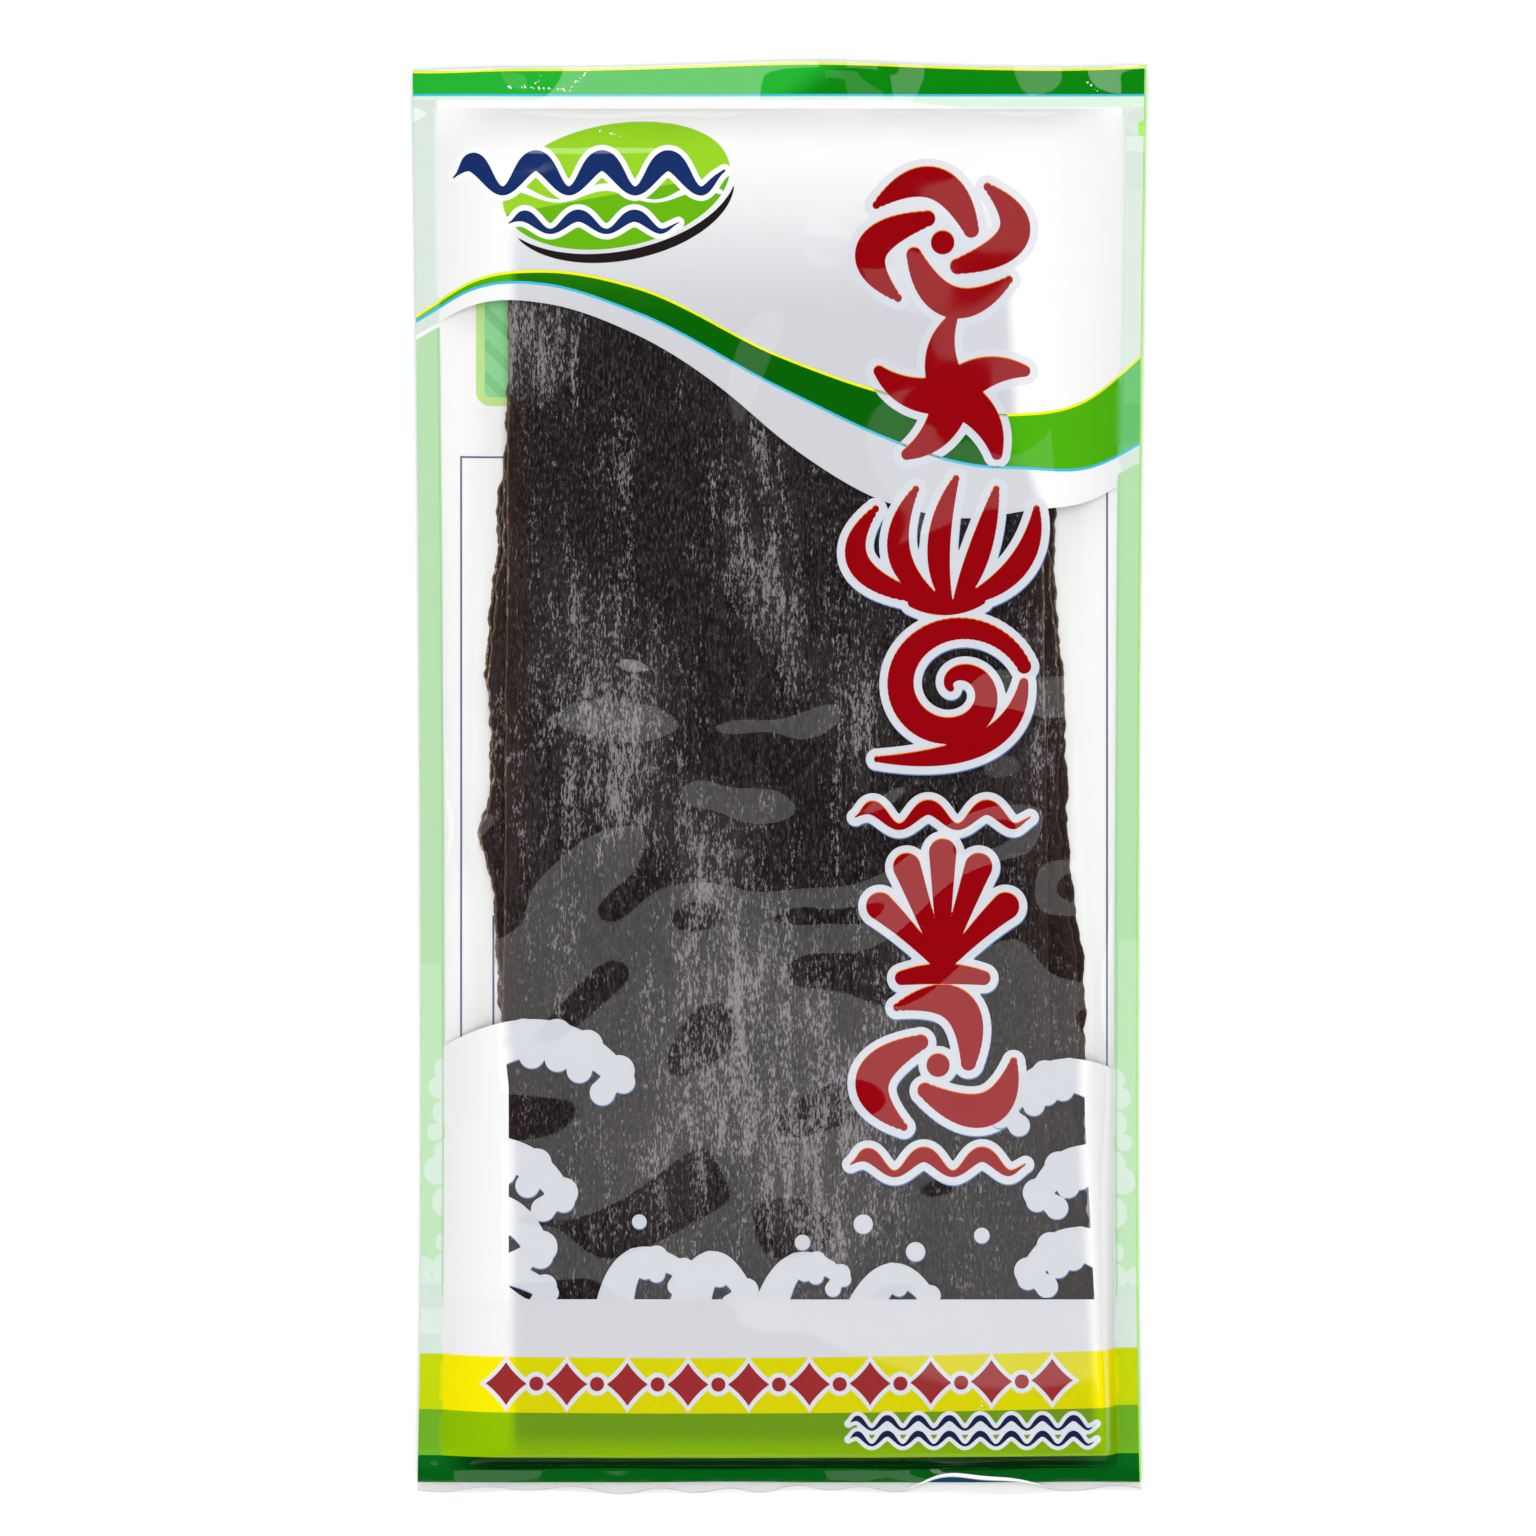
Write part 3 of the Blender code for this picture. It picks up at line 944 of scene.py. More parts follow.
class KELPPOUCH_OT_sheets(bpy.types.Operator):
    """Make the three dried kelp sheets"""

    bl_idname = "kelp_pouch.sheets"
    bl_label = "Kelp sheets"

    def execute(self, context):
        sizes = context.scene.kelp_pouch_sizes
        material = kelp_material(context.scene.kelp_pouch_looks)
        inset = 0.6 * MM
        low, high = STACK_BOTTOM + inset, STACK_TOP - inset
        sheet("kelp_sheet_low", lambda y: stack_left(y) + inset, lambda y: stack_right(y) - inset,
              low, high, 1.6 * MM, sizes, material, 3, (420, 40))
        sheet("kelp_sheet_middle", lambda y: stack_left(y) + 1.5 * MM,
              lambda y: stack_right(y) - 1.8 * MM, low + 1.0 * MM, high - 2.0 * MM, 4.0 * MM,
              sizes, material, 8, (420, 40))
        sheet("kelp_sheet_top", lambda y: -59.6 * MM + 0.008 * y, lambda y: 57.9 * MM - 0.012 * y,
              low + 0.4 * MM, high - 1.0 * MM, 6.6 * MM, sizes, material, 14, (430, 100),
              fray=0.22, trimmed=(0.55, 0.70), spotted=True)
        return {"FINISHED"}


class KELPPOUCH_OT_fields(bpy.types.Operator):
    """Make the printed fields of colour: header, sweep, side strips and end bands"""

    bl_idname = "kelp_pouch.fields"
    bl_label = "Printed fields"

    def execute(self, context):
        sizes = context.scene.kelp_pouch_sizes
        base = film_points(sizes)
        line = sizes.edge_line

        green = ink_material("leaf_green_ink", (78, 176, 16), (5, 98, 3), (103, 188, 110))
        # the top band's lighter second colour (36, 176, 50) is a painted reflection on its left part, not kelp
        # behind it
        band = ink_material("band_green_and_painted_reflection_ink", (10, 132, 14), (36, 176, 50))
        white = ink_material("white_ink", (243, 243, 243), (203, 204, 210), (212, 223, 214))
        foot_white = ink_material("foot_white_ink", (238, 236, 237), (205, 206, 211), (208, 221, 211))
        tint = ink_material("header_tint_ink", (216, 237, 218))
        pale = ink_material("pale_green_ink", (180, 217, 174))
        pale_edge = ink_material("strip_edge_ink", (160, 208, 156))
        yellow = ink_material("yellow_ink", (245, 232, 3), (208, 202, 8), (192, 208, 12))
        lime = ink_material("lime_ink", (143, 188, 2), (104, 146, 27), (108, 170, 38))
        foot = ink_material("foot_green_ink", (2, 92, 20))
        # painted shade: the foot band's upper part is near black-green where the curved foot gutter lies in
        # shade, and lighter green over the side welds
        foot_painted_shade = ink_material("foot_painted_shade_ink", (1, 42, 3), None, (8, 96, 26))
        edge_yellow = ink_material("edge_yellow_ink", (238, 240, 20))
        edge_cyan = ink_material("edge_cyan_ink", (70, 190, 225))

        def top_edge(x):
            return top_cut(x) - 0.35 * MM

        def tint_low(x):
            return TOP_BAND_LOW - 0.8 * MM - 1.5 * MM * smooth((x - 0.022) / 0.02)

        def lime_top(x):
            return LIME_TOP + 0.75 * band_droop(x)

        def foot_top(x):
            return FOOT_TOP + 0.35 * band_droop(x)

        # lower edge of the foot band's painted shade
        def foot_middle(x):
            return FOOT_TOP - 3.3 * MM + 0.15 * MM * np.sin(x / 0.008)

        def strips(p):
            x, y = p[:, 0], p[:, 1]
            inner = half_width(y) - SIDE_WELD
            start = sweep_lower(x) - STRIP_DROP
            return np.minimum.reduce([np.abs(x) - inner, start - y, y - STRIP_LOW])

        def strip_edges(p):
            x, y = p[:, 0], p[:, 1]
            return np.minimum(strips(p), half_width(y) - SIDE_WELD + 0.5 * MM - np.abs(x))

        # painted reflection: 1 on the top band's left part, which takes the band's lighter colour in place of
        # the film's sheen there
        def painted_lit_left(x, y):
            return smooth((0.008 - x + 1.5 * (y - TOP_BAND_LOW)) / 0.012)

        # 1 towards the side welds, where the foot band's painted shade gives way to lighter green
        def shade_free_ends(x, y):
            return smooth((np.abs(x) - 0.062) / 0.014)

        def wide_behind(x, y):
            return kelp_behind(x, y, 12.0 * MM)

        band_low, foot_low = level(TOP_BAND_LOW), level(FOOT_PRINT_LOW)
        own = {
            # the top band's second colour is its painted reflection on the left part
            "print_top_band": {"behind": painted_lit_left},
            # the foot band's painted shade gives way to lighter green at its ends
            "print_foot_band_painted_shade": {"weld": shade_free_ends},
            "print_sweep": {"behind": wide_behind},
        }
        for name, upper, lower, ink, slot in (
            ("print_top_band", top_edge, band_low, band, "green_print"),
            ("print_header", tint_low, sweep_upper, white, "white_print"),
            ("print_header_tint", band_low, tint_low, tint, "green_print"),
            ("print_sweep", sweep_upper, sweep_lower, green, "green_print"),
            ("print_under_sweep", sweep_lower, window_upper, white, "white_print"),
            ("print_foot_panel", level(WINDOW_LOW), yellow_top, foot_white, "white_print"),
            ("print_yellow_band", yellow_top, lime_top, yellow, "green_print"),
            ("print_lime_band", lime_top, foot_top, lime, "green_print"),
            ("print_foot_band_painted_shade", foot_top, foot_middle, foot_painted_shade, "green_print"),
            ("print_foot_edge", foot_middle, foot_low, foot, "green_print"),
        ):
            printed(name, base, between(upper, lower), FIELD_INK, ink, slot, 2, **own.get(name, {}))
        printed("print_side_strips", base, strips, MID_INK, pale, "green_print")
        printed("print_strip_edges", base, strip_edges, TOP_INK, pale_edge, "green_print", 1)

        for name, curve, up, down, ink in (
            ("line_top_yellow", top_edge, 0.0, line, edge_yellow),
            ("line_band_cyan", band_low, line, 0.0, edge_cyan),
            ("line_sweep_yellow", sweep_upper, line, 0.1 * MM, edge_yellow),
            ("line_sweep_cyan", sweep_lower, 0.1 * MM, line, edge_cyan),
        ):
            upper, lower = shifted(curve, up), shifted(curve, -down)
            printed(name, base, between(upper, lower), MID_INK, ink, "green_print", 3)

        # painted highlights: white ink over the clear film stands in for the glint of light on the open lip's
        # rolled edge and on the sharp creases
        curl = ink_material("painted_highlight_white", (236, 240, 238))
        rolled = between(
            lambda x: front_foot(x) + 1.0 * MM * np.sqrt(lip_open(x)),
            lambda x: front_foot(x) + 0.20 * MM * lip_open(x),
        )
        open_part = box_field(LIP_OPEN_AT - LIP_OPEN_HALF, LIP_OPEN_AT + LIP_OPEN_HALF, -0.16, -0.14)
        over_film("lip_curl_painted_highlight", base, all_of(rolled, open_part), curl)
        over_film("crease_glints", base, disc_shape(crease_glints()), curl)
        rim = ink_material("lip_rim_grey", (176, 180, 178))
        over_film("lip_rim", base, between(shifted(front_foot, 0.22 * MM), level(-0.2)), rim)
        return {"FINISHED"}


def crease_glints():
    """Bright specks along sharp creases, painted highlights in place of glints: discs at random places and
    sizes near lines.
    """
    rng = np.random.default_rng(5)
    parts = []
    for (x0, y0), (x1, y1), count in CREASES:
        t = np.sort(rng.uniform(0, 1, count))
        x = x0 + (x1 - x0) * t + rng.normal(0, 0.18, count)
        y = y0 + (y1 - y0) * t + rng.normal(0, 0.18, count)
        parts.append(np.stack([x, y, rng.uniform(0.06, 0.24, count)], 1) * MM)
    return np.concatenate(parts)


def over_film(name, base, field, material):
    """A strip of the front film's own surface, just over it: the painted highlight on its rolled edge or its
    creases, or its cut rim.
    """
    points, triangles = base
    points, triangles = refine_rim(points, triangles, field(points), 3)
    points, triangles = clip(points, triangles, field(points))
    points = points + np.array([0, 0, TOP_INK])
    return mesh_piece(name, points, triangles, material, "film")


def shifted(curve, distance):
    """A curve over X moved along Y."""
    return lambda x: curve(x) + distance


class KELPPOUCH_OT_back_print(bpy.types.Operator):
    """Make the back film's print: label block, frame lines and border, on both faces"""

    bl_idname = "kelp_pouch.back_print"
    bl_label = "Back print"

    def execute(self, context):
        sizes = context.scene.kelp_pouch_sizes
        base = back_points()
        line = sizes.frame_line
        left, right, low, high = (value * MM for value in BACK_FRAME)
        column, column_low, column_high = (value * MM for value in BACK_COLUMN)
        label = tuple(value * MM for value in BACK_LABEL)
        outer = box_field(left - line, right + line, low - line, high + line)
        frame_lines = any_of(
            less(outer, box_field(left, right, low, high)),
            box_field(column - line / 2, column + line / 2, column_low, column_high),
        )
        block = box_field(*label, corner=3.2 * MM)
        inner = box_field(label[0] + 1.9 * MM, label[1] - 1.9 * MM, label[2] + 1.9 * MM,
                          label[3] - 1.9 * MM, corner=1.6 * MM)

        def stripes(p):
            return 0.55 * MM * (np.sin((p[:, 0] + p[:, 1]) / 0.00115) - 0.35)

        def border(p):
            x, y = p[:, 0], p[:, 1]
            sides = np.abs(x) - half_width(y) + SIDE_WELD
            whole = np.maximum.reduce([sides, y - TOP_CUT + BACK_BAND, -0.1395 - y])
            return np.minimum(whole, y - FOOT_PRINT_LOW)

        def edge_strip(p):
            x, y = p[:, 0], p[:, 1]
            return np.minimum(x - half_width(y) + 1.6 * MM, y - FOOT_PRINT_LOW)

        for side, suffix, colours in (
            (1, "inner", ((105, 105, 138), (150, 219, 158), (196, 231, 148), (133, 206, 143), (165, 232, 100))),
            (-1, "outer", ((30, 34, 96), (70, 176, 60), (206, 224, 40), (40, 150, 44), (20, 140, 30))),
        ):
            navy, fill, rim, stripe, edge = (
                ink_material(f"back_{suffix}_{kind}_ink", colour)
                for kind, colour in zip(("line", "fill", "rim", "stripe", "border"), colours)
            )
            back_printed(f"back_frame_{suffix}", base, frame_lines, side, navy, rounds=3)
            back_printed(f"back_label_rim_{suffix}", base, less(block, inner), side, rim)
            back_printed(f"back_label_fill_{suffix}", base, inner, side, fill, rounds=2)
            back_printed(f"back_label_stripes_{suffix}", base, all_of(inner, stripes), 1.3 * side,
                         stripe)
            back_printed(f"back_border_{suffix}", base, edge_strip if side > 0 else border, side, edge)
        back_printed("back_foot_inner", base, self.foot_inner, 1, ink_material("back_foot_ink", (24, 62, 96)))
        return {"FINISHED"}

    @staticmethod
    def foot_inner(p):
        """The back's dark foot band, which shows where the front lip stands open."""
        x, y = p[:, 0], p[:, 1]
        return np.minimum.reduce([y - FOOT_PRINT_LOW, FOOT_PRINT_LOW + 4.4 * MM - y,
                                  0.016 - np.abs(x - LIP_OPEN_AT)])


def lozenge(middle, width, height):
    """Depth inside a diamond, in metres along Y."""
    def field(points):
        u = np.abs(points[:, 0] - middle[0]) / (width / 2)
        v = np.abs(points[:, 1] - middle[1]) / (height / 2)
        return (1.0 - u**0.85 - v**0.85) * height / 2

    return field


def wave_line(left, right, y, rise, wavelength, thick, steps=220):
    """A wavy brush line: discs along a sine, fatter on the crests than in the troughs."""
    x = np.linspace(left, right, steps)
    phase = 2 * np.pi * (x - left) / wavelength
    ends = smooth((x - left) / (0.35 * wavelength)) * smooth((right - x) / (0.35 * wavelength))
    radius = thick * (0.78 + 0.30 * np.sin(phase)) * (0.15 + 0.85 * ends)
    return np.stack([x, y + rise * np.sin(phase) * (0.6 + 0.4 * ends), radius], 1)


def whorl_motif(middle, width, height, dabs=4, turn=28.0):
    """A whorl of bent brush dabs that turn round a dot at even angles."""
    discs = [np.array([[0.0, 0.0, 0.075]])]
    fat = 0.165 * (4 / dabs) ** 0.35
    for k in range(dabs):
        a = math.radians(360 / dabs * k + turn)
        b = a + math.radians(62)
        c = a + math.radians(118)
        start = (0.19 * math.cos(a), 0.19 * math.sin(a))
        control = (0.66 * math.cos(b), 0.66 * math.sin(b))
        end = (0.47 * math.cos(c), 0.47 * math.sin(c))
        discs.append(stroke(start, control, end, (0.050, fat, 0.025)))
    return place_discs(np.concatenate(discs), middle, width, height)


def tuft_motif(middle, width, height, blades=5, lean=1.0):
    """A tuft of bowed blades that fan out of one foot, the middle one tallest."""
    discs = []
    half = (blades - 1) / 2
    for k in range(blades):
        spread = (k - half) / half
        tip = (0.46 * spread + 0.05 * lean, 0.47 - 0.22 * abs(spread) ** 1.5)
        control = (0.62 * spread - 0.12 * lean, -0.02 - 0.20 * abs(spread))
        foot = (0.13 * spread, -0.42 + 0.02 * abs(spread))
        discs.append(stroke(foot, control, tip, (0.035, 0.118, 0.022)))
    discs.append(stroke((-0.20, -0.43), (0.0, -0.50), (0.20, -0.42), (0.03, 0.075, 0.02)))
    return place_discs(np.concatenate(discs), middle, width, height)


def star_motif(middle, width, height, arms=5, turn=90.0, bow=0.14):
    """A sea star: broad bowed arms that taper from the middle to round points."""
    discs = [np.array([[0.0, 0.0, 0.12]])]
    for k in range(arms):
        a = math.radians(turn + 360 / arms * k)
        tip = (0.49 * math.cos(a), 0.49 * math.sin(a))
        control = (0.25 * math.cos(a) - bow * math.sin(a), 0.25 * math.sin(a) + bow * math.cos(a))
        discs.append(stroke((0.0, 0.0), control, tip, (0.125, 0.118, 0.036)))
    return place_discs(np.concatenate(discs), middle, width, height)


def scroll_motif(middle, width, height, hand=1.0):
    """A curling wave: a spiral brush line that swells and thins, over a bent foot line."""
    t = np.linspace(0, 1, 90)
    angle = 0.35 + 2.75 * np.pi * t
    reach = 0.44 * (1 - t) ** 0.85 + 0.03
    radius = 0.105 * np.sin(np.pi * (0.12 + 0.80 * t)) ** 0.8 * (1 - 0.35 * t)
    spiral = np.stack([hand * (reach * np.cos(angle) + 0.02), reach * np.sin(angle) + 0.05, radius], 1)
    foot = stroke((0.46 * hand, 0.10), (0.40 * hand, -0.46), (-0.48 * hand, -0.42), (0.03, 0.125, 0.02), 60)
    return place_discs(np.concatenate([spiral, foot]), middle, width, height)


def shell_motif(middle, width, height, ribs=5):
    """A scallop shell: fat ribs that spread from a hinge and end in round knobs."""
    discs = []
    for k in range(ribs):
        a = math.radians(90 + (k - (ribs - 1) / 2) * 29)
        tip = (0.66 * math.cos(a) * 0.66, -0.34 + 0.80 * math.sin(a))
        discs.append(stroke((0.0, -0.36), (0.55 * tip[0], 0.5 * tip[1] - 0.12), tip, (0.03, 0.060, 0.088)))
    discs.append(stroke((-0.24, -0.42), (0.0, -0.36), (0.24, -0.42), (0.045, 0.085, 0.045)))
    return place_discs(np.concatenate(discs), middle, width, height)


def place_discs(discs, middle, width, height):
    """Discs from a unit square to a box round a middle point."""
    scale = np.array([width, height, 0.5 * (width + height)])
    return discs * scale + np.array([middle[0], middle[1], 0.0])


def breaker(foot, crown, tip, thick, lobes=3, hand=1.0):
    """A wave crest: a fat bent stroke that thins towards its tip, with round lobes that
    hang from its hollow side and grow towards the tip."""
    body = stroke(foot, crown, tip, (1.45 * thick, 0.90 * thick, 0.62 * thick), 48)
    path = body[:, :2]
    way = np.gradient(path, axis=0)
    way /= np.hypot(way[:, 0], way[:, 1])[:, None]
    side = np.stack([way[:, 1], -way[:, 0]], 1) * hand
    parts = [body]
    for k in range(lobes):
        share = k / max(lobes - 1, 1)
        i = int((len(path) - 1) * (0.50 + 0.46 * share))
        root = path[i]
        end = root + side[i] * thick * (0.95 + 0.25 * share) + way[i] * 0.25 * thick
        parts.append(stroke(root, (root + end) / 2, end, (0.55 * thick, 0.50 * thick, 0.66 * thick), 12))
        cap = root - side[i] * 0.22 * thick
        parts.append(np.array([[*cap, 0.80 * thick]]))
    return np.concatenate(parts)


def disc_shape(discs, grow=0.0):
    """A field for printed(): depth inside the discs, each grown by a width."""
    low = (discs[:, :2] - discs[:, 2:]).min(axis=0) - grow - 3 * MM
    high = (discs[:, :2] + discs[:, 2:]).max(axis=0) + grow + 3 * MM

    def field(points):
        value = np.full(len(points), -1.0)
        near = ((points[:, :2] > low) & (points[:, :2] < high)).all(axis=1)
        value[near] = disc_field(points[near], discs) + grow
        return value

    return field


def oval(middle, width, height, tilt):
    """Depth inside a tilted oval, in metres: one less the oval radius, times its height."""
    ca, sa = math.cos(tilt), math.sin(tilt)

    def field(points):
        x, y = points[:, 0] - middle[0], points[:, 1] - middle[1]
        u, v = (x * ca + y * sa) / (width / 2), (y * ca - x * sa) / (height / 2)
        return (1.0 - np.hypot(u, v)) * height / 2

    return field


class KELPPOUCH_OT_column(bpy.types.Operator):
    """Make the printed column of red brush motifs with its white outline"""

    bl_idname = "kelp_pouch.column"
    bl_label = "Red column"

    def execute(self, context):
        sizes = context.scene.kelp_pouch_sizes
        base = film_points(sizes)
        red = ink_material("brush_red_ink", (148, 2, 12))
        slip_orange = ink_material("slip_orange_ink", (236, 150, 30))
        rim_white = ink_material("outline_white_ink", (222, 222, 228), (208, 211, 219))
        slip_blue = ink_material("slip_blue_ink", (92, 126, 178))
        column = 36.5 * MM
        motifs = [
            whorl_motif((column - 1 * MM, 116.5 * MM), 37 * MM, 31 * MM, 4),
            star_motif((column + 1 * MM, 83.5 * MM), 34 * MM, 33 * MM, 5, 90.0),
            tuft_motif((column, 51.0 * MM), 38 * MM, 30 * MM, 5, 1.0),
            scroll_motif((column + 1 * MM, 17.5 * MM), 34 * MM, 32 * MM, 1.0),
            wave_line(column - 20 * MM, column + 18 * MM, -8.5 * MM, 2.1 * MM, 12.7 * MM, 1.5 * MM),
            shell_motif((column - 1 * MM, -30.5 * MM), 37 * MM, 31 * MM),
            whorl_motif((column - 2 * MM, -62.5 * MM), 35 * MM, 32 * MM, 3, 5.0),
            wave_line(column - 21 * MM, column + 17 * MM, -84.0 * MM, 2.1 * MM, 12.7 * MM, 1.5 * MM),
        ]
        shapes = any_of(*[disc_shape(m) for m in motifs])
        grown = any_of(*[disc_shape(m, sizes.outline) for m in motifs])
        printed("print_red_column", base, shapes, TOP_INK, red, "red_print", 2)
        printed("print_column_slip", base, shapes, TOP_SLIP_INK, slip_orange, "red_print", 2,
                (0.0, 0.22 * MM))
        printed("print_column_outline", base, grown, MID_INK, rim_white, "white_print", 2)
        on_window = all_of(grown, lambda p: window_upper(p[:, 0]) - p[:, 1])
        printed("print_outline_slip", base, on_window, MID_SLIP_INK, slip_blue, "white_print", 2,
                (0.10 * MM, -0.28 * MM))
        return {"FINISHED"}


class KELPPOUCH_OT_badge(bpy.types.Operator):
    """Make the printed badge in the header: a lime oval crossed by navy wave lines"""

    bl_idname = "kelp_pouch.badge"
    bl_label = "Badge"

    def execute(self, context):
        base = film_points(context.scene.kelp_pouch_sizes)
        tilt = math.radians(11)
        middle = (-35.5 * MM, 129.0 * MM)
        disc = oval(middle, 50 * MM, 27 * MM, tilt)
        shadow = oval((middle[0] + 1.0 * MM, middle[1] - 2.9 * MM), 50 * MM, 27 * MM, tilt)
        split = wave_line(-64 * MM, -8 * MM, 127.0 * MM, 1.5 * MM, 21 * MM, 0.75 * MM)
        lines = [
            wave_line(-71 * MM, -12 * MM, 131.0 * MM, 3.3 * MM, 14.4 * MM, 2.1 * MM),
            wave_line(-59 * MM, -22 * MM, 120.6 * MM, 1.7 * MM, 12.2 * MM, 1.25 * MM),
        ]
        strokes = any_of(*[disc_shape(part) for part in lines])
        halo = any_of(*[disc_shape(part, 1.15 * MM) for part in lines])

        def upper(p):
            return p[:, 1] - 127.0 * MM - 0.18 * (p[:, 0] - middle[0])

        white = ink_material("badge_white_ink", (246, 248, 250))
        for name, field, depth, ink in (
            ("badge_waves", strokes, TOP_INK, ink_material("badge_navy_ink", (24, 48, 104))),
            ("badge_wave_halo", halo, TOP_SLIP_INK, white),
            ("badge_vein", all_of(disc_shape(split), disc), MID_INK, white),
            ("badge_light", all_of(disc, upper), MID_SLIP_INK, ink_material("badge_lime_ink", (152, 208, 40))),
            ("badge_dark", less(disc, upper), MID_SLIP_INK, ink_material("badge_green_ink", (104, 180, 18))),
            ("badge_shadow", less(shadow, lambda p: disc(p) + 0.9 * MM), MID_INK,
             ink_material("badge_black_ink", (34, 27, 27))),
        ):
            printed(name, base, field, depth, ink, "green_print", 2)
        return {"FINISHED"}


class KELPPOUCH_OT_crests(bpy.types.Operator):
    """Make the printed wave crests and drops round the window's lower part"""

    bl_idname = "kelp_pouch.crests"
    bl_label = "Wave crests"

    def execute(self, context):
        base = film_points(context.scene.kelp_pouch_sizes)
        white = ink_material("crest_white_ink", (240, 239, 240), (202, 204, 210), (205, 222, 208))
        slip_blue = ink_material("crest_slip_ink", (92, 126, 178), (92, 126, 178), (205, 222, 208))
        left = (
            ((-82, -72), (-52, -44), (-34, -66), 4.2, 4),
            ((-82, -88), (-56, -74), (-47, -92), 4.0, 3),
            ((-80, -106), (-60, -84), (-52, -104), 4.4, 2),
            ((-82, -114), (-66, -101), (-50, -112), 3.2, 2),
            ((-36, -116), (-34, -98), (-20, -108), 2.9, 3),
            ((-20, -117), (-16, -97), (-7, -113), 3.2, 2),
            ((-2, -116), (2, -99), (14, -109), 2.6, 3),
            ((18, -117), (24, -101), (33, -114), 2.9, 2),
        )
        right = (
            ((82, -76), (60, -54), (48, -74), 3.6, 4),
            ((82, -94), (64, -74), (56, -92), 3.8, 3),
            ((82, -112), (62, -92), (54, -109), 3.7, 3),
        )
        crests = []
        for rows, hand in ((left, 1.0), (right, -1.0)):
            for foot, crown, tip, thick, lobes in rows:
                points = (np.array(p) * MM for p in (foot, crown, tip))
                crests.append(disc_shape(breaker(*points, thick * MM, lobes, hand)))
        drops = np.array([(18.2, -97.0, 2.1), (29.6, -103.0, 2.1), (5.0, -101.0, 1.7),
                          (-30.5, -96.5, 1.6), (44.0, -99.5, 1.7)]) * MM
        inside = any_of(*crests, disc_shape(drops))

        def above_foot(p):
            return p[:, 1] - WINDOW_LOW

        def swell(p):
            """Solid white in the gutters, from the foot up to the highest crests: partly crest print,
            partly painted light laid over the gaps so that no shadow of the crests shows on the back film.
            """
            x, y = p[:, 0], p[:, 1]
            top = np.where(x < 0, -61.1, -65.1) * MM - 0.62 * (np.abs(x) - 67.4 * MM)
            inner = np.where(x < 0, stack_left(y) + 0.5 * MM - x, x - stack_right(y) + 0.3 * MM)
            outer = half_width(y) - SIDE_WELD - np.abs(x)
            return np.minimum.reduce([inner, outer, top - y])

        def corner(p):
            """The window's rounded corner at the lower left."""
            return WINDOW_LOW + 4.2 * MM * (1.0 - smooth((p[:, 0] + 62.0 * MM) / (8.0 * MM))) - p[:, 1]

        scallops = disc_shape(np.array(STRIP_SCALLOPS) * MM)

        def printed_crests(p):
            """The crests up to the side strips, and rows of scallops on the strips."""
            on_strip = np.abs(p[:, 0]) - half_width(p[:, 1]) + SIDE_WELD
            mirrored = np.stack([np.abs(p[:, 0]), p[:, 1] + 2.3 * MM * (p[:, 0] > 0)], 1)
            on_strips = np.minimum(scallops(mirrored), on_strip + 0.4 * MM)
            return np.maximum(np.minimum(inside(p), 0.2 * MM - on_strip), on_strips)

        shape = all_of(any_of(printed_crests, swell, corner), above_foot)
        printed("print_wave_crests", base, shape, TOP_SLIP_INK, white, "white_print", 2)
        slipped = all_of(printed_crests, lambda p: p[:, 1] - WINDOW_LOW - 0.6 * MM)
        printed("print_crest_slip", base, slipped, MID_INK - 0.004 * MM, slip_blue, "white_print", 2,
                (0.08 * MM, -0.26 * MM))
        return {"FINISHED"}


class KELPPOUCH_OT_rows(bpy.types.Operator):
    """Make the two printed rows in the foot bands: red diamonds and dots, and navy wave lines"""

    bl_idname = "kelp_pouch.rows"
    bl_label = "Foot rows"

    def execute(self, context):
        base = film_points(context.scene.kelp_pouch_sizes)
        white = ink_material("row_white_ink", (226, 226, 230), (212, 214, 222))
        red = ink_material("row_red_ink", (150, 45, 47))
        navy = ink_material("row_navy_ink", (26, 34, 70))
        count = 10
        pitch = 13.2 * MM
        diamonds, dots = [], []
        for k in range(count):
            x = -59.5 * MM + pitch * k
            y = -130.9 * MM + 0.75 * band_droop(x)
            diamonds.append((x, y))
            dots.append((x + pitch / 2, y, 1.55 * MM))
        dots = np.array(dots[:-1])
        reds = any_of(disc_shape(dots), *[lozenge(at, 9.2 * MM, 9.6 * MM) for at in diamonds])
        red_rims = any_of(disc_shape(dots, 1.0 * MM), *[lozenge(at, 12.2 * MM, 12.6 * MM) for at in diamonds])
        lines = [
            wave_line(15 * MM, 69 * MM, -140.4 * MM, 1.25 * MM, 6.75 * MM, 0.62 * MM),
            wave_line(15 * MM, 69 * MM, -143.8 * MM, 1.25 * MM, 6.75 * MM, 0.62 * MM),
        ]
        navies = any_of(*[disc_shape(part) for part in lines])
        navy_rims = any_of(*[disc_shape(part, 0.85 * MM) for part in lines])
        for name, field, depth, ink, slot in (
            ("row_red", reds, TOP_INK, red, "red_print"),
            ("row_red_rims", red_rims, MID_INK, white, "white_print"),
            ("row_navy", navies, TOP_INK, navy, "green_print"),
            ("row_navy_rims", navy_rims, MID_INK, white, "white_print"),
        ):
            printed(name, base, field, depth, ink, slot, 2)
        return {"FINISHED"}


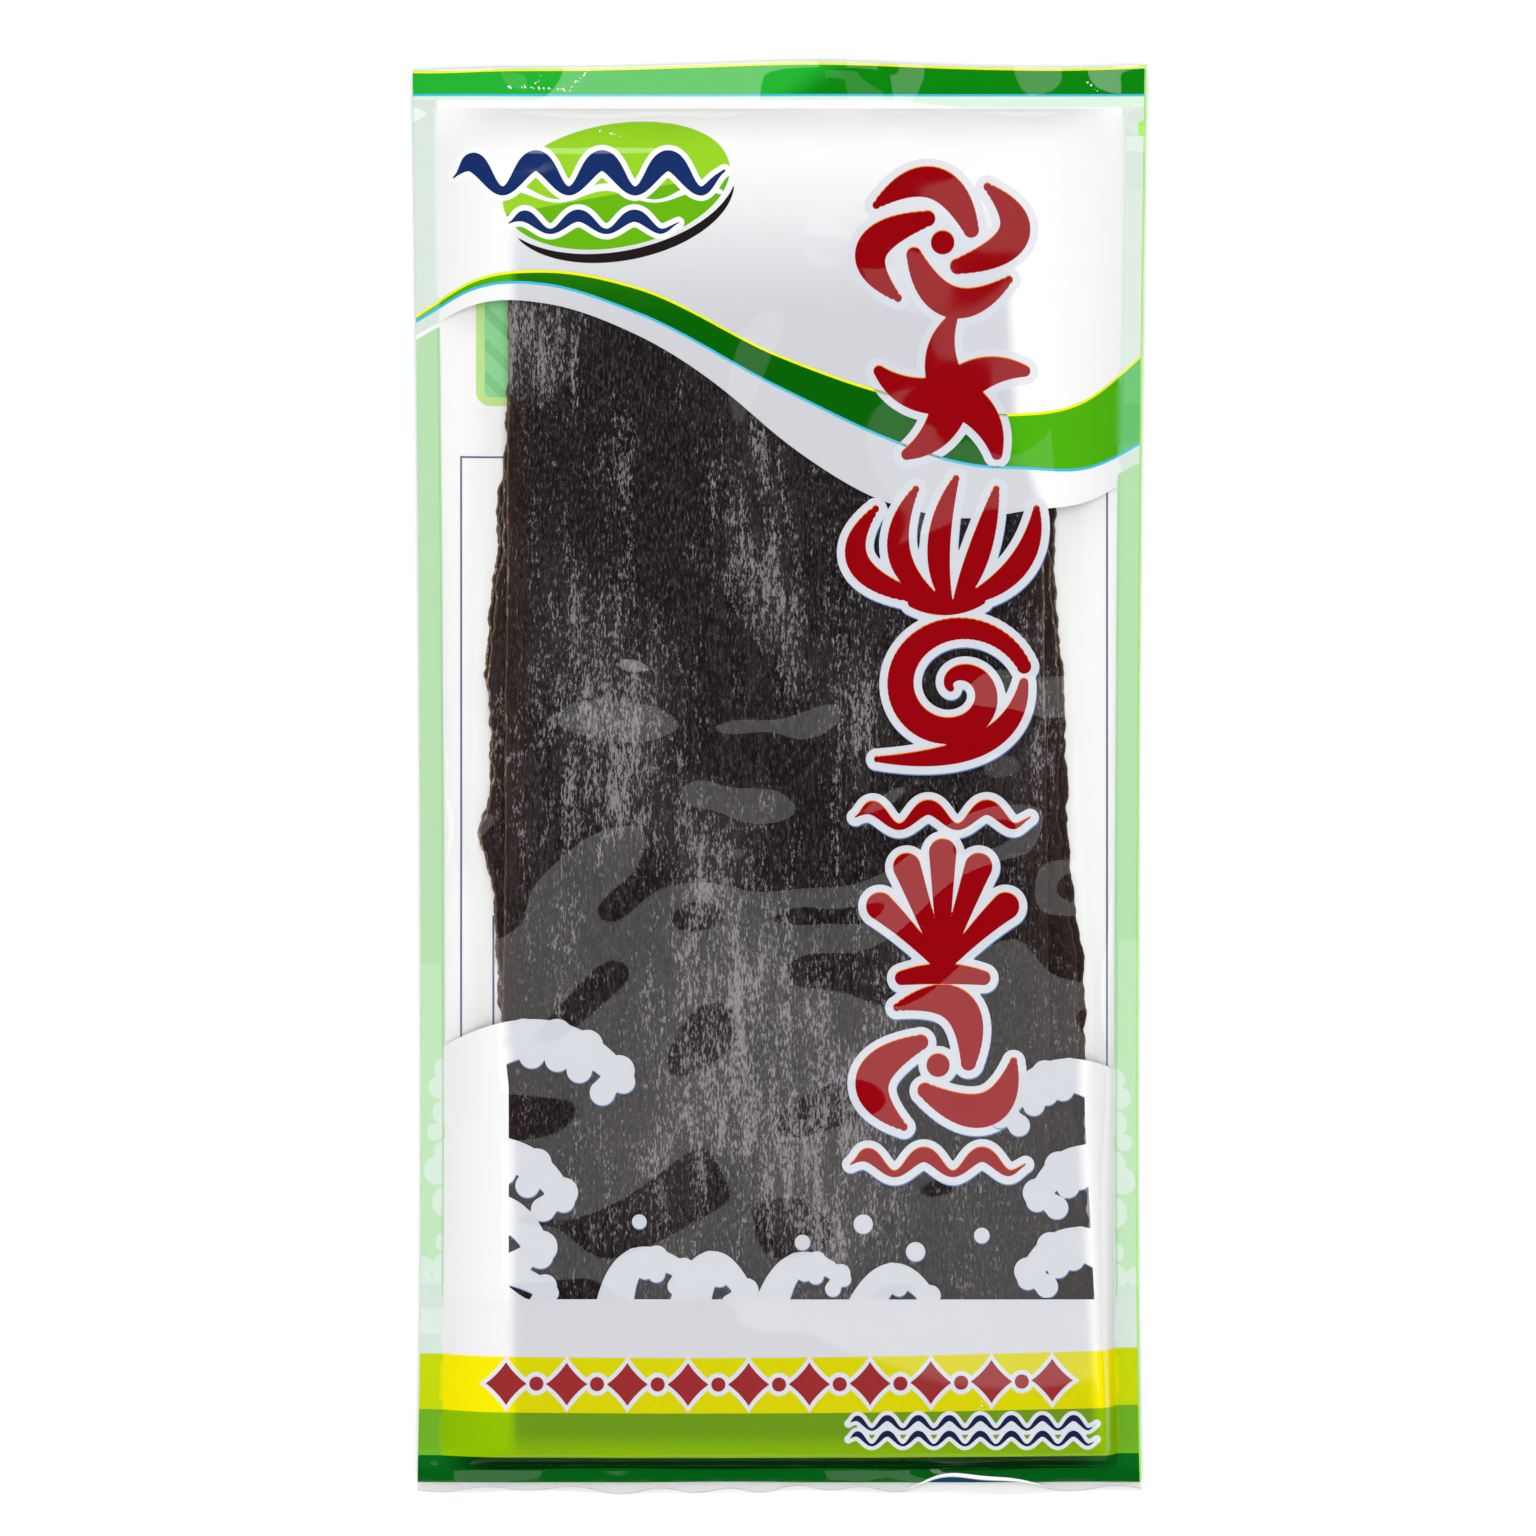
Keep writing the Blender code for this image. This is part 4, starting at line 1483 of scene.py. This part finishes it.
class KELPPOUCH_OT_stage(bpy.types.Operator):
    """Make the floor, the lights and the camera"""

    bl_idname = "kelp_pouch.stage"
    bl_label = "Stage"

    def execute(self, context):
        studio = context.scene.kelp_pouch_studio
        scene = context.scene
        made, tree, out = start_material("plain_floor")
        shader = tree.nodes.new("ShaderNodeBsdfDiffuse")
        shader.inputs["Color"].default_value = (*studio.floor, 1.0)
        tree.links.new(shader.outputs[0], out.inputs["Surface"])
        mesh = bpy.data.meshes.new("floor")
        side = 2.5
        mesh.from_pydata(
            [(-side, -side, -0.0001), (side, -side, -0.0001), (side, side, -0.0001), (-side, side, -0.0001)],
            [], [(0, 1, 2, 3)],
        )
        mesh.materials.append(made)
        floor = bpy.data.objects.new("floor", mesh)
        scene.collection.objects.link(floor)

        def softbox(name, place, aim, width, height, power):
            data = bpy.data.lights.new(name, "AREA")
            data.shape = "RECTANGLE"
            data.size = width
            data.size_y = height
            data.energy = power
            lamp = bpy.data.objects.new(name, data)
            lamp.location = place
            direction = Vector(aim) - Vector(place)
            lamp.rotation_euler = direction.to_track_quat("-Z", "Y").to_euler()
            lamp.visible_camera = False
            scene.collection.objects.link(lamp)
            return lamp

        lamp = softbox("overhead_softbox", (0, 0, 1.75), (0, 0, 0), 0.9, 0.9, studio.overhead_power)
        lamp.visible_glossy = False
        for side, end in ((-1, 1), (1, 1), (-1, -1), (1, -1)):
            place = (1.45 * side, 1.45 * end, 1.55)
            lamp = softbox("corner_softbox", place, (0, 0, 0), 1.7, 1.7, studio.side_power)
            lamp.visible_glossy = False
        for name, x, y, width, depth, share in (
            ("strip_softbox", 0.0, -0.176, 0.9, 0.172, 0.90),
            ("head_softbox", -0.19, 0.45, 0.40, 0.24, 2.4),
            ("corner_softbox_small", 0.22, 0.45, 0.10, 0.24, 1.4),
            ("column_softbox", 0.135, 0.235, 0.15, 0.12, 0.6),
        ):
            power = studio.top_radiance * share * math.pi * width * depth
            lamp = softbox(name, (x, y, 1.6), (x, y, 0), width, depth, power)
            lamp.rotation_euler = (0, 0, 0)

        world = bpy.data.worlds.new("studio_air")
        world.use_nodes = True
        world.node_tree.nodes["Background"].inputs[0].default_value = (1, 1, 1, 1)
        world.node_tree.nodes["Background"].inputs[1].default_value = 0.02
        scene.world = world
        scene.view_settings.view_transform = "Standard"

        height = 1.3
        view_width = 0.3349
        data = bpy.data.cameras.new("camera")
        data.lens = 36.0 * (height - 0.005) / view_width
        data.sensor_width = 36.0
        camera = bpy.data.objects.new("camera", data)
        camera.location = (-0.0025, 0.0022, height)
        scene.collection.objects.link(camera)
        scene.camera = camera
        return {"FINISHED"}


class KELPPOUCH_PT_panel(bpy.types.Panel):
    """Lists the pouch's pieces and their settings"""

    bl_label = "Kelp Pouch"
    bl_idname = "KELPPOUCH_PT_panel"
    bl_space_type = "VIEW_3D"
    bl_region_type = "UI"
    bl_category = "Kelp Pouch"

    def draw(self, context):
        layout = self.layout
        for operator in OPERATORS:
            layout.operator(operator.bl_idname)
        for group in ("kelp_pouch_sizes", "kelp_pouch_looks", "kelp_pouch_studio"):
            box = layout.box()
            settings = getattr(context.scene, group)
            for key in settings.__annotations__:
                box.prop(settings, key)


GROUPS = (KelpPouchSizes, KelpPouchLooks, KelpPouchStudio)
OPERATORS = (
    KELPPOUCH_OT_films,
    KELPPOUCH_OT_sheets,
    KELPPOUCH_OT_fields,
    KELPPOUCH_OT_back_print,
    KELPPOUCH_OT_column,
    KELPPOUCH_OT_badge,
    KELPPOUCH_OT_crests,
    KELPPOUCH_OT_rows,
    KELPPOUCH_OT_stage,
)


def register():
    for item in (*GROUPS, *OPERATORS, KELPPOUCH_PT_panel):
        bpy.utils.register_class(item)
    bpy.types.Scene.kelp_pouch_sizes = PointerProperty(type=KelpPouchSizes)
    bpy.types.Scene.kelp_pouch_looks = PointerProperty(type=KelpPouchLooks)
    bpy.types.Scene.kelp_pouch_studio = PointerProperty(type=KelpPouchStudio)


def unregister():
    del bpy.types.Scene.kelp_pouch_studio
    del bpy.types.Scene.kelp_pouch_looks
    del bpy.types.Scene.kelp_pouch_sizes
    for item in reversed((*GROUPS, *OPERATORS, KELPPOUCH_PT_panel)):
        bpy.utils.unregister_class(item)


def main():
    register()
    bpy.ops.kelp_pouch.films()
    bpy.ops.kelp_pouch.sheets()
    bpy.ops.kelp_pouch.fields()
    bpy.ops.kelp_pouch.back_print()
    bpy.ops.kelp_pouch.column()
    bpy.ops.kelp_pouch.badge()
    bpy.ops.kelp_pouch.crests()
    bpy.ops.kelp_pouch.rows()
    bpy.ops.kelp_pouch.stage()


if __name__ == "__main__":
    main()
